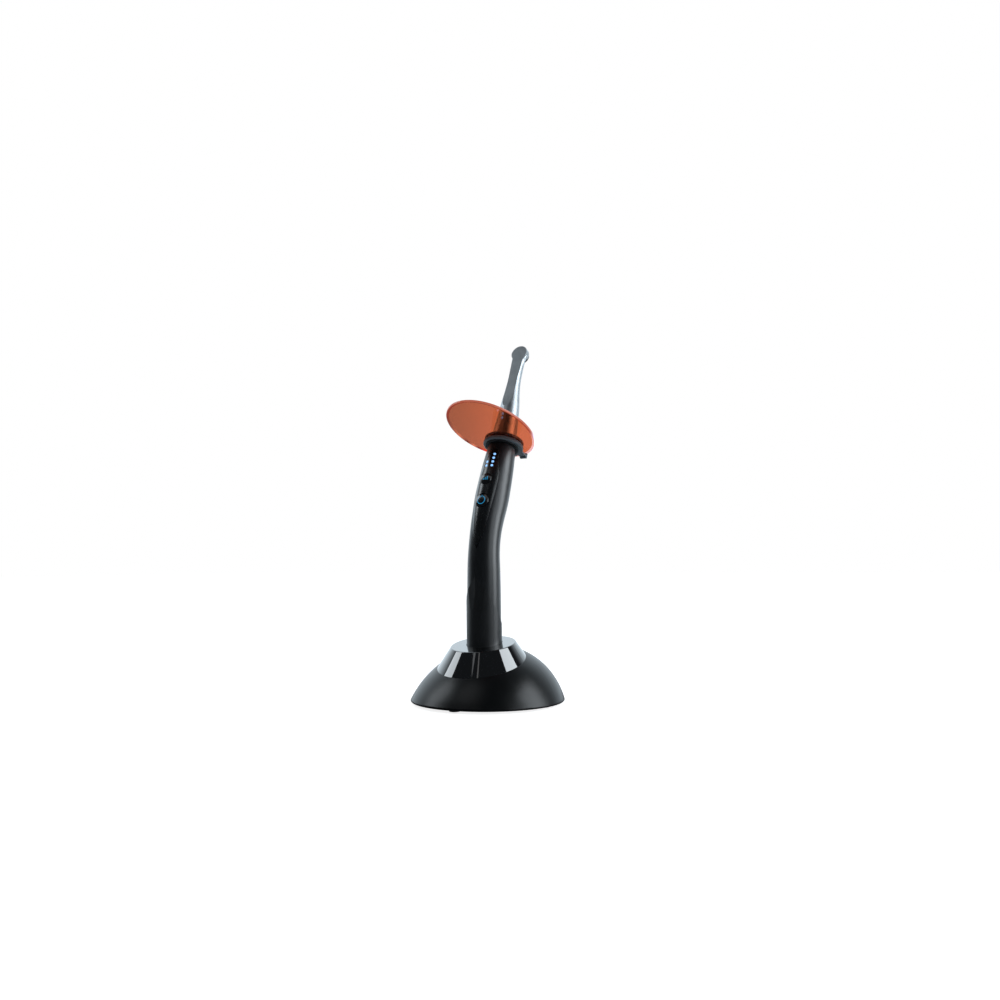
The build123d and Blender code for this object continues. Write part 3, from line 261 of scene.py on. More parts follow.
@dataclass(frozen=True)
class WorkedMetal:
    """Bare, plated or anodised metal with fine working marks.

    Attributes are the finish's name, colour and roughness, the size, depth and run of its marks,
    the size of its clouding, how far that darkens or lightens it and how far the marks smooth or
    roughen it.
    """

    name: str
    color: Color
    roughness: float
    marks: float = 0.0003
    depth: float = 0.000003
    pattern: Pattern = Pattern.EVEN
    cloud_size: float = 0.009
    darker: float = 0.93
    lighter: float = 1.05
    smoother: float = 0.82
    rougher: float = 1.2

    def make(self) -> bpy.types.Material:
        """Builds the material.

        Returns:
            The finished material.
        """
        bench = NodeBench(self.name)
        cloud = bench.noise(self.cloud_size, 3.0)
        marks = bench.noise(self.marks, 4.0, self.pattern)
        dark, pale = shaded(self.color, self.darker), shaded(self.color, self.lighter)
        colour = bench.tint(bench.span(cloud, 0.0, 1.0), dark, pale)
        bench.join(colour, bench.shader.inputs["Base Color"])
        rough = bench.span(marks, self.roughness * self.smoother, self.roughness * self.rougher)
        bench.join(rough, bench.shader.inputs["Roughness"])
        bench.shader.inputs["Metallic"].default_value = 1.0
        if self.depth:
            bench.emboss(marks, self.depth)
        return bench.material


@dataclass(frozen=True)
class ClearPlastic:
    """Clear or tinted plastic or glass, with faint smears that dull its gloss in places.

    Where the run's half width in metres is given, the colour runs across the view as painted light,
    from the first colour on the left to the second on the right; elsewhere it varies in soft clouds.
    """

    name: str
    color: Color
    deep_color: Color
    roughness: float = 0.02
    index: float = 1.49
    painted_light_sweep: float = 0.0
    smear_size: float = 0.006
    cloud_size: float = 0.03
    smoother: float = 0.5
    rougher: float = 1.6

    def make(self) -> bpy.types.Material:
        """Builds the material.

        Returns:
            The finished material.
        """
        bench = NodeBench(self.name)
        smear = bench.noise(self.smear_size, 3.0)
        # painted light: along the run across the view the colour goes from the first colour on the left to
        # the second on the right
        if self.painted_light_sweep:
            share = bench.across(-self.painted_light_sweep, self.painted_light_sweep)
        else:
            share = bench.span(bench.noise(self.cloud_size, 2.0), 0.0, 1.0)
        colour = bench.tint(share, self.color, self.deep_color)
        bench.join(colour, bench.shader.inputs["Base Color"])
        rough = bench.span(smear, self.roughness * self.smoother, self.roughness * self.rougher)
        bench.join(rough, bench.shader.inputs["Roughness"])
        bench.shader.inputs["Transmission Weight"].default_value = 1.0
        bench.shader.inputs["IOR"].default_value = self.index
        return bench.material


@dataclass(frozen=True)
class RimPaintedGlints:
    """Rim of tinted clear plastic with painted glints: it glows in bands of colour that stand in for the
    light glinting along its edge.

    Attributes are the finish's name, its painted glint bands as places from 0 to 1 with their
    colours, the painted colour of the side towards the viewer, half the width of the bands' run in
    metres, the brightness of the painted glow, where the near colour ends and the bands are in full,
    and the size and roughness of its haze.
    """

    name: str
    bands: tuple[tuple[float, Color], ...]
    near_color: Color
    reach: float
    glow: float
    near_end: float = -0.004
    far_start: float = 0.012
    haze_size: float = 0.004
    smoothest: float = 0.06
    roughest: float = 0.14

    def make(self) -> bpy.types.Material:
        """Builds the material.

        Returns:
            The finished material.
        """
        bench = NodeBench(self.name)
        # painted glints: emission bands that run across the view, with one plain painted colour on the side
        # towards the viewer
        ramp = bench.put("ShaderNodeValToRGB")
        stops = ramp.color_ramp.elements
        stops.remove(stops[-1])
        stops[0].position, stops[0].color = self.bands[0][0], (*self.bands[0][1], 1.0)
        for place, color in self.bands[1:]:
            stops.new(place).color = (*color, 1.0)
        bench.join(bench.across(-self.reach, self.reach), ramp.inputs["Fac"])
        mix = bench.put("ShaderNodeMix", data_type="RGBA")
        bench.join(bench.across(self.near_end, self.far_start, DEPTH_WAY), mix.inputs["Factor"])
        mix.inputs["A"].default_value = (*self.near_color, 1.0)
        bench.join(ramp.outputs["Color"], mix.inputs["B"])
        bench.join(mix.outputs["Result"], bench.shader.inputs["Base Color"])
        bench.join(mix.outputs["Result"], bench.shader.inputs["Emission Color"])
        bench.shader.inputs["Emission Strength"].default_value = self.glow
        rough = bench.span(bench.noise(self.haze_size, 2.0), self.smoothest, self.roughest)
        bench.join(rough, bench.shader.inputs["Roughness"])
        return bench.material


@dataclass(frozen=True)
class LitInlay:
    """Translucent inlay lit from behind, with a fine grain that dims it in places."""

    name: str
    color: Color
    glow: float
    grain_size: float = 0.0006
    darker: float = 0.85
    smoothest: float = 0.2
    roughest: float = 0.35

    def make(self) -> bpy.types.Material:
        """Builds the material.

        Returns:
            The finished material.
        """
        bench = NodeBench(self.name)
        grain = bench.noise(self.grain_size, 2.0)
        colour = bench.tint(bench.span(grain, 0.0, 1.0), shaded(self.color, self.darker), self.color)
        bench.join(colour, bench.shader.inputs["Base Color"])
        bench.join(colour, bench.shader.inputs["Emission Color"])
        bench.shader.inputs["Emission Strength"].default_value = self.glow
        bench.join(bench.span(grain, self.smoothest, self.roughest), bench.shader.inputs["Roughness"])
        return bench.material


@dataclass(frozen=True)
class CircuitBoard:
    """Green solder resist with darker tracks under it."""

    name: str
    resist: Color
    track: Color
    track_scale: float = 260.0
    track_gap: float = 0.06
    darker: float = 0.85
    haze_size: float = 0.002
    smoothest: float = 0.25
    roughest: float = 0.4
    relief: float = 0.00002

    def make(self) -> bpy.types.Material:
        """Builds the material.

        Returns:
            The finished material.
        """
        bench = NodeBench(self.name)
        tracks = bench.put("ShaderNodeTexBrick")
        tracks.inputs["Scale"].default_value = self.track_scale
        tracks.inputs["Mortar Size"].default_value = self.track_gap
        tracks.inputs["Color1"].default_value = (*self.resist, 1.0)
        tracks.inputs["Color2"].default_value = (*shaded(self.resist, self.darker), 1.0)
        tracks.inputs["Mortar"].default_value = (*self.track, 1.0)
        bench.join(bench.place, tracks.inputs["Vector"])
        bench.join(tracks.outputs["Color"], bench.shader.inputs["Base Color"])
        rough = bench.span(bench.noise(self.haze_size, 2.0), self.smoothest, self.roughest)
        bench.join(rough, bench.shader.inputs["Roughness"])
        bench.emboss(tracks.outputs["Fac"], self.relief)
        return bench.material


FINISH_LIST = (
    MouldedPlastic(
        "dome_satin", color=(0.002, 0.0024, 0.003), roughness=0.30, grain=0.00035, depth=0.000004,
        spread=0.02, specular=0.5,
    ),
    MouldedPlastic(
        "collar_gloss", color=(0.002, 0.002, 0.0025), roughness=0.05, grain=0.006, depth=0.000003,
        spread=0.01, coat=1.0, coat_roughness=0.03, specular=1.0, coat_index=1.9,
    ),
    MouldedPlastic(
        "grip_satin", color=(0.008, 0.0095, 0.012), roughness=0.33, grain=0.0003, depth=0.000002,
        spread=0.02, specular=1.0,
    ),
    MouldedPlastic(
        "sleeve_satin", color=(0.011, 0.012, 0.014), roughness=0.38, grain=0.0003, depth=0.000003,
        spread=0.02, specular=1.0,
    ),
    MouldedPlastic(
        "panel_gloss", color=(0.003, 0.0035, 0.0045), roughness=0.26, grain=0.005, depth=0.000002,
        spread=0.02, coat=0.25, coat_roughness=0.12, specular=1.0,
    ),
    MouldedPlastic(
        "button_gloss", color=(0.004, 0.004, 0.005), roughness=0.2, grain=0.0004, depth=0.000002,
        spread=0.03, coat=0.4, coat_roughness=0.1, specular=1.0,
    ),
    MouldedPlastic(
        "collar_slate", color=(0.12, 0.145, 0.165), roughness=0.36, grain=0.0003, depth=0.000003,
        spread=0.04,
    ),
    MouldedPlastic(
        "liner_soft", color=(0.02, 0.022, 0.025), roughness=0.6, grain=0.0002, depth=0.000006,
        spread=0.06,
    ),
    MouldedPlastic(
        "foot_rubber", color=(0.012, 0.012, 0.013), roughness=0.75, grain=0.0003, depth=0.00001,
        spread=0.08,
    ),
    MouldedPlastic(
        "inner_black", color=(0.02, 0.02, 0.022), roughness=0.5, grain=0.0005, depth=0.000008,
        spread=0.08,
    ),
    MouldedPlastic(
        "case_black", color=(0.03, 0.03, 0.033), roughness=0.45, grain=0.0004, depth=0.000006,
        spread=0.06,
    ),
    MouldedPlastic(
        "cell_wrap", color=(0.03, 0.2, 0.42), roughness=0.25, grain=0.003, depth=0.00001, spread=0.06,
        coat=0.4,
    ),
    MouldedPlastic(
        "lead_red", color=(0.4, 0.02, 0.015), roughness=0.45, grain=0.0008, depth=0.00001, spread=0.05,
    ),
    MouldedPlastic(
        "ring_black", color=(0.01, 0.01, 0.012), roughness=0.16, grain=0.002, depth=0.000002,
        spread=0.04, coat=0.4,
    ),
    WorkedMetal(
        "neck_satin", color=(0.58, 0.62, 0.65), roughness=0.42, marks=0.0006, depth=0.0,
        pattern=Pattern.ALONG_NECK,
    ),
    WorkedMetal("spreader_milled", color=(0.75, 0.75, 0.76), roughness=0.3, marks=0.0003, depth=0.000004),
    WorkedMetal("zinc_steel", color=(0.56, 0.56, 0.58), roughness=0.32, marks=0.0003, depth=0.000004),
    WorkedMetal("contact_gold", color=(0.9, 0.62, 0.22), roughness=0.22, marks=0.0002, depth=0.000002),
    WorkedMetal("reflector_bright", color=(0.92, 0.92, 0.93), roughness=0.06, marks=0.0005, depth=0.000001),
    # painted light: the shield's orange runs lighter towards the right of the view
    ClearPlastic(
        "shield_orange", color=(0.40, 0.10, 0.04), deep_color=(0.72, 0.155, 0.06), roughness=0.006,
        index=1.49, painted_light_sweep=0.036,
    ),
    # painted glints: the shield's rim glows in bands of colour that stand in for light glinting along it
    RimPaintedGlints(
        "shield_edge_painted_glints",
        bands=(
            (0.0, (0.10, 0.03, 0.02)),
            (0.10, (0.42, 0.24, 0.18)),
            (0.20, (0.12, 0.03, 0.02)),
            (0.30, (0.46, 0.28, 0.22)),
            (0.38, (0.15, 0.03, 0.02)),
            (0.48, (0.45, 0.05, 0.02)),
            (0.60, (0.50, 0.06, 0.03)),
            (0.68, (0.55, 0.50, 0.30)),
            (0.76, (0.58, 1.0, 1.0)),
            (0.85, (0.55, 0.70, 0.60)),
            (0.90, (0.06, 0.01, 0.01)),
            (0.97, (0.45, 0.50, 0.70)),
        ),
        near_color=(0.20, 0.05, 0.03),
        reach=0.034,
        glow=1.9,
    ),
    ClearPlastic(
        "lens_clear", color=(0.93, 0.96, 0.98), deep_color=(0.9, 0.94, 0.97), roughness=0.02,
        index=1.46,
    ),
    LitInlay("light_blue", color=(0.26, 0.55, 1.0), glow=1.15),
    LitInlay("mark_blue", color=(0.02, 0.22, 0.42), glow=0.9),
    LitInlay("led_yellow", color=(0.85, 0.68, 0.16), glow=0.15),
    CircuitBoard("board_green", resist=(0.01, 0.11, 0.035), track=(0.02, 0.2, 0.06)),
)
FINISHES = {finish.name: finish for finish in FINISH_LIST}


class FinishBook:
    """Makes each finish once and hands it out by name."""

    def __init__(self) -> None:
        """Starts with no finish made."""
        self.made: dict[str, bpy.types.Material] = {}

    def get(self, name: str) -> bpy.types.Material:
        """The material of a finish.

        Args:
            name: the finish's name in FINISHES.

        Returns:
            Its material, made on first use.
        """
        if name not in self.made:
            self.made[name] = FINISHES[name].make()
        return self.made[name]

    def dress(self, node: str, name: str) -> None:
        """Gives a CAD node its finish.

        Args:
            node: the CAD node's name.
            name: the finish's name.
        """
        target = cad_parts[node]
        if not target.data.materials:
            target.data.materials.append(None)
        for slot in target.material_slots:
            slot.material = self.get(name)
        log.info("dressed %s in %s", node, name)


class MeshHand:
    """Edit-mode work on one object, as by hand."""

    def __init__(self, name: str) -> None:
        """Takes the object that an operator has just added.

        Args:
            name: the piece's new name.
        """
        self.piece = bpy.context.object
        self.piece.name = name
        self.piece.data.name = name
        bpy.context.scene.tool_settings.mesh_select_mode = (True, False, False)

    @staticmethod
    def clear() -> None:
        """Leaves edit mode and deselects everything."""
        if bpy.context.object and bpy.context.object.mode != "OBJECT":
            bpy.ops.object.mode_set(mode="OBJECT")
        bpy.ops.object.select_all(action="DESELECT")

    def select_faces(self, towards: Vector, least: float = 0.9) -> None:
        """Selects the faces that look one way, and stays in edit mode.

        Args:
            towards: the direction.
            least: smallest share of the normal along it.
        """
        bpy.ops.object.mode_set(mode="EDIT")
        bpy.ops.mesh.select_all(action="DESELECT")
        bpy.ops.object.mode_set(mode="OBJECT")
        for polygon in self.piece.data.polygons:
            polygon.select = polygon.normal.dot(towards) > least
        bpy.ops.object.mode_set(mode="EDIT")
        bpy.ops.mesh.select_mode(type="FACE")

    def soften(self, width: float, segments: int, angle: float = 30.0) -> None:
        """Rounds the piece's sharp edges with an applied bevel.

        Args:
            width: bevel width in metres.
            segments: number of segments.
            angle: edges sharper than this many degrees are rounded.
        """
        bpy.ops.object.mode_set(mode="OBJECT")
        bevel = self.piece.modifiers.new("edge", "BEVEL")
        bevel.width = width
        bevel.segments = segments
        bevel.limit_method = "ANGLE"
        bevel.angle_limit = math.radians(angle)
        bpy.ops.object.modifier_apply(modifier="edge")

    def settle(self, matrix: Matrix, smooth: float = 35.0) -> bpy.types.Object:
        """Puts the mesh in its place and leaves the object at the origin.

        Args:
            matrix: place of the piece in the frame.
            smooth: angle in degrees below which faces shade smoothly.

        Returns:
            The finished object.
        """
        bpy.ops.object.mode_set(mode="OBJECT")
        self.piece.data.transform(matrix @ self.piece.matrix_basis)
        self.piece.matrix_basis = Matrix.Identity(4)
        bpy.ops.object.shade_smooth_by_angle(angle=math.radians(smooth))
        return self.piece


@dataclass
class GlareShield:
    """The turning glare shield: orange oval plate between two slate flanges on a soft bush."""

    half_width: float = 0.032
    half_length: float = 0.044
    offset: float = -0.0207
    hole: float = 0.01355
    start: float = 0.18325
    thickness: float = 0.002
    rim_round: float = 0.0007
    rim_slope: float = 0.98
    rim_band: float = 0.0022
    rim_share: float = 0.9
    rim_segments: int = 4
    rim_angle: float = 60.0
    smooth_angle: float = 5.0
    vertices: int = 192

    def build_plate(self) -> bpy.types.Object:
        """Models the oval plate with its rounded rim and its hole.

        Returns:
            The plate.
        """
        MeshHand.clear()
        bpy.ops.mesh.primitive_circle_add(vertices=self.vertices, radius=1.0, fill_type="NOTHING")
        hand = MeshHand("shield_plate")
        bpy.ops.object.mode_set(mode="EDIT")
        bpy.ops.mesh.select_all(action="SELECT")
        bpy.ops.transform.resize(value=(self.half_width, self.half_length, 1.0))
        bpy.ops.transform.translate(value=(0.0, self.offset, 0.0))
        bpy.ops.mesh.select_all(action="DESELECT")
        bpy.ops.mesh.primitive_circle_add(vertices=self.vertices, radius=self.hole, fill_type="NOTHING")
        bpy.ops.mesh.select_all(action="SELECT")
        bpy.ops.mesh.bridge_edge_loops()
        bpy.ops.mesh.select_all(action="SELECT")
        bpy.ops.mesh.extrude_region_move(TRANSFORM_OT_translate={"value": (0.0, 0.0, self.thickness)})
        bpy.ops.mesh.select_all(action="SELECT")
        bpy.ops.mesh.normals_make_consistent(inside=False)
        hand.select_faces(Vector((0.0, 0.0, 1.0)))
        bpy.ops.mesh.inset(thickness=self.rim_band)
        hand.soften(self.rim_round, self.rim_segments, self.rim_angle)
        # the rim faces get the second material, which paints glints onto the rim
        for polygon in hand.piece.data.polygons:
            place = polygon.center
            share = math.hypot(place.x / self.half_width, (place.y - self.offset) / self.half_length)
            not_underneath = polygon.normal.z > -self.rim_slope
            polygon.material_index = int(share > self.rim_share and not_underneath)
        return hand.settle(upper_matrix(self.start), self.smooth_angle)

    def dress(self, book: FinishBook) -> None:
        """Builds the plate and gives every part of the shield its finish.

        Args:
            book: the finishes.
        """
        plate = self.build_plate()
        plate.data.materials.append(book.get("shield_orange"))
        # second material: painted glints on the rim
        plate.data.materials.append(book.get("shield_edge_painted_glints"))
        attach(plate, "shield")
        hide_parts("light_shield")
        book.dress("shield_collar", "collar_slate")
        book.dress("shield_clamp_ring", "collar_slate")
        book.dress("collar_liner", "liner_soft")


@dataclass
class LightHead:
    """Neck, head and the light unit behind the window."""

    head_reach: float = 0.26505
    emitter_floor: float = 0.00065
    board_size: float = 0.0034
    board_height: float = 0.0003
    die_size: float = 0.0012
    die_gap: float = 0.00028
    die_flatness: float = 0.55
    die_round: float = 0.00008
    bowl_height: float = 0.0021
    bowl_throat: float = 0.0027
    bowl_mouth: float = 0.0042
    bowl_outer: float = 0.00478
    bowl_steps: int = 5
    bowl_angle: float = 20.0
    weld: float = 0.00001
    facets: int = 48

    def window_matrix(self, height: float) -> Matrix:
        """Place whose z points out of the window.

        Args:
            height: distance towards the window from the centre line, in metres.

        Returns:
            The matrix.
        """
        return upper_matrix(self.head_reach, 0.0, height) @ Matrix.Rotation(math.radians(-90.0), 4, "X")

    def build_emitter(self) -> bpy.types.Object:
        """Models the emitter: a ceramic base with four flat dies.

        Returns:
            The emitter.
        """
        MeshHand.clear()
        bpy.ops.mesh.primitive_cube_add(
            size=1.0,
            location=(0.0, 0.0, self.board_height / 2.0),
            scale=(self.board_size, self.board_size, self.board_height),
        )
        hand = MeshHand("emitter_dies")
        bpy.ops.object.transform_apply(location=True, rotation=False, scale=True)
        pitch = (self.die_size + self.die_gap) / 2.0
        for across in (-pitch, pitch):
            for along in (-pitch, pitch):
                MeshHand.clear()
                hand.piece.select_set(True)
                bpy.context.view_layer.objects.active = hand.piece
                bpy.ops.object.mode_set(mode="EDIT")
                bpy.ops.mesh.select_all(action="DESELECT")
                bpy.ops.mesh.primitive_cube_add(
                    size=self.die_size, location=(across, along, self.board_height)
                )
                bpy.ops.transform.resize(value=(1.0, 1.0, self.die_flatness))
        hand.soften(self.die_round, 2)
        return hand.settle(self.window_matrix(self.emitter_floor))

    def build_bowl(self) -> bpy.types.Object:
        """Models the faceted reflector bowl.

        Returns:
            The reflector.
        """
        MeshHand.clear()
        bpy.ops.mesh.primitive_circle_add(
            vertices=self.facets, radius=self.bowl_throat, fill_type="NOTHING"
        )
        hand = MeshHand("reflector_bowl")
        bpy.ops.object.mode_set(mode="EDIT")
        bpy.ops.mesh.select_all(action="SELECT")
        rise = {"value": (0.0, 0.0, self.bowl_height / self.bowl_steps)}
        drop = {"value": (0.0, 0.0, -self.bowl_height)}
        radius = self.bowl_throat
        for step in range(1, self.bowl_steps + 1):
            share = step / self.bowl_steps
            wider = self.bowl_throat + (self.bowl_mouth - self.bowl_throat) * math.sqrt(share)
            bpy.ops.mesh.extrude_region_move(TRANSFORM_OT_translate=rise)
            bpy.ops.transform.resize(value=(wider / radius, wider / radius, 1.0))
            radius = wider
        bpy.ops.mesh.extrude_region_move()
        bpy.ops.transform.resize(value=(self.bowl_outer / radius, self.bowl_outer / radius, 1.0))
        bpy.ops.mesh.extrude_region_move(TRANSFORM_OT_translate=drop)
        bpy.ops.mesh.extrude_region_move()
        narrow = self.bowl_throat / self.bowl_outer
        bpy.ops.transform.resize(value=(narrow, narrow, 1.0))
        bpy.ops.mesh.select_all(action="SELECT")
        bpy.ops.mesh.remove_doubles(threshold=self.weld)
        bpy.ops.mesh.normals_make_consistent(inside=False)
        return hand.settle(self.window_matrix(self.emitter_floor), self.bowl_angle)

    def dress(self, book: FinishBook) -> None:
        """Builds the light unit's fine pieces and dresses the head.

        Args:
            book: the finishes.
        """
        for piece, node, finish, slot in (
            (self.build_emitter(), "emitter_led", "led_yellow", "led_yellow"),
            (self.build_bowl(), "reflector", "reflector_bright", "reflector_metal"),
        ):
            piece.data.materials.append(book.get(finish))
            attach(piece, "handpiece")
            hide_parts(node)
        for node, finish in (
            ("head_shell", "neck_satin"),
            ("head_window_ring", "ring_black"),
            ("light_lens", "lens_clear"),
            ("heat_spreader", "spreader_milled"),
            ("emitter_board", "board_green"),
            ("emitter_leads", "lead_red"),
            ("neck_seal", "liner_soft"),
            ("neck_screws", "zinc_steel"),
        ):
            book.dress(node, finish)


@dataclass
class Grip:
    """The black handpiece: shells, control panel, buttons and what is inside."""

    finishes: dict[str, str] = field(
        default_factory=lambda: {
            "body_shell": "grip_satin",
            "tail_sleeve": "sleeve_satin",
            "tail_cap": "sleeve_satin",
            "control_panel": "panel_gloss",
            "power_button": "button_gloss",
            "mode_button": "button_gloss",
            "power_button_mark": "mark_blue",
            "mode_button_mark": "mark_blue",
            "indicator_lights": "light_blue",
            "indicator_leds": "led_yellow",
            "charge_pads": "contact_gold",
            "battery_contact": "contact_gold",
            "battery_spring": "zinc_steel",
            "battery_cell": "cell_wrap",
            "battery_cradle": "inner_black",
            "battery_leads": "lead_red",
            "tail_board": "board_green",
            "main_board": "board_green",
            "board_carrier": "inner_black",
            "board_components": "case_black",
            "button_switches": "case_black",
            "buzzer": "case_black",
        }
    )

    def dress(self, book: FinishBook) -> None:
        """Gives each node of the grip its finish.

        Args:
            book: the finishes.
        """
        for node, finish in self.finishes.items():
            book.dress(node, finish)


@dataclass
class ChargingBase:
    """The charging base: dome, gloss collar, feet and what is inside."""

    foot_circle: float = 0.048
    foot_radius: float = 0.004
    foot_height: float = 0.0027
    foot_rim: float = 0.0012
    foot_cup: float = 0.0004
    foot_round: float = 0.00035
    foot_count: int = 4
    finishes: dict[str, str] = field(
        default_factory=lambda: {
            "base_dome": "dome_satin",
            "base_collar": "collar_gloss",
            "socket_cup": "inner_black",
            "base_plate": "inner_black",
            "ballast_plate": "zinc_steel",
            "base_screws": "zinc_steel",
            "charger_board": "board_green",
            "charger_components": "case_black",
            "power_inlet": "case_black",
            "inlet_pin": "contact_gold",
            "charge_pin_barrels": "contact_gold",
            "charge_pin_spring_left": "zinc_steel",
            "charge_pin_spring_right": "zinc_steel",
            "charge_pin_left": "contact_gold",
            "charge_pin_right": "contact_gold",
        }
    )

    def build_feet(self) -> bpy.types.Object:
        """Models the four rubber feet, each with a rounded edge and a shallow cup underneath.

        Returns:
            The feet as one piece.
        """
        MeshHand.clear()
        bpy.ops.mesh.primitive_cylinder_add(
            vertices=48,
            radius=self.foot_radius,
            depth=self.foot_height,
            location=(0.0, 0.0, self.foot_height / 2.0),
        )
        hand = MeshHand("foot_pads")
        bpy.ops.object.transform_apply(location=True, rotation=False, scale=False)
        hand.select_faces(Vector((0.0, 0.0, -1.0)))
        bpy.ops.mesh.inset(thickness=self.foot_rim)
        bpy.ops.mesh.extrude_region_move(TRANSFORM_OT_translate={"value": (0.0, 0.0, self.foot_cup)})
        hand.soften(self.foot_round, 3)
        first = hand.settle(Matrix.Translation((self.foot_circle, 0.0, 0.0)))
        for number in range(1, self.foot_count):
            other = first.copy()
            other.data = first.data.copy()
            bpy.context.collection.objects.link(other)
            other.data.transform(Matrix.Rotation(math.tau * number / self.foot_count, 4, "Z"))
            other.select_set(True)
        bpy.context.view_layer.objects.active = first
        bpy.ops.object.join()
        return first

    def dress(self, book: FinishBook) -> None:
        """Builds the feet and gives each node of the base its finish.

        Args:
            book: the finishes.
        """
        feet = self.build_feet()
        feet.data.materials.append(book.get("foot_rubber"))
        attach(feet, "base")
        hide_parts("rubber_feet")
        for node, finish in self.finishes.items():
            book.dress(node, finish)


@dataclass(frozen=True)
class Softbox:
    """One soft lamp, placed by where it stands round the object.

    Attributes are its name, direction and height angle in degrees, distance, width, height,
    brightness of its face and colour.
    """

    name: str
    azimuth: float
    elevation: float
    distance: float
    width: float
    height: float
    brightness: float
    color: Color = (1.0, 1.0, 1.0)

    def light(self, aim: Vector) -> bpy.types.Object:
        """Adds the lamp.

        Args:
            aim: the point it faces.

        Returns:
            The lamp's object.
        """
        turn = math.radians(self.azimuth)
        lift = math.radians(self.elevation)
        away = Vector((math.sin(turn) * math.cos(lift), -math.cos(turn) * math.cos(lift), math.sin(lift)))
        lamp = bpy.data.lights.new(self.name, "AREA")
        lamp.shape = "RECTANGLE"
        lamp.size = self.width
        lamp.size_y = self.height
        lamp.energy = self.brightness * math.pi * self.width * self.height
        lamp.color = self.color
        stand = bpy.data.objects.new(self.name, lamp)
        stand.location = aim + away * self.distance
        stand.rotation_mode = "QUATERNION"
        stand.rotation_quaternion = away.to_track_quat("Z", "Y")
        stand.visible_camera = False
        stand.visible_transmission = False
        bpy.context.scene.collection.objects.link(stand)
        return stand


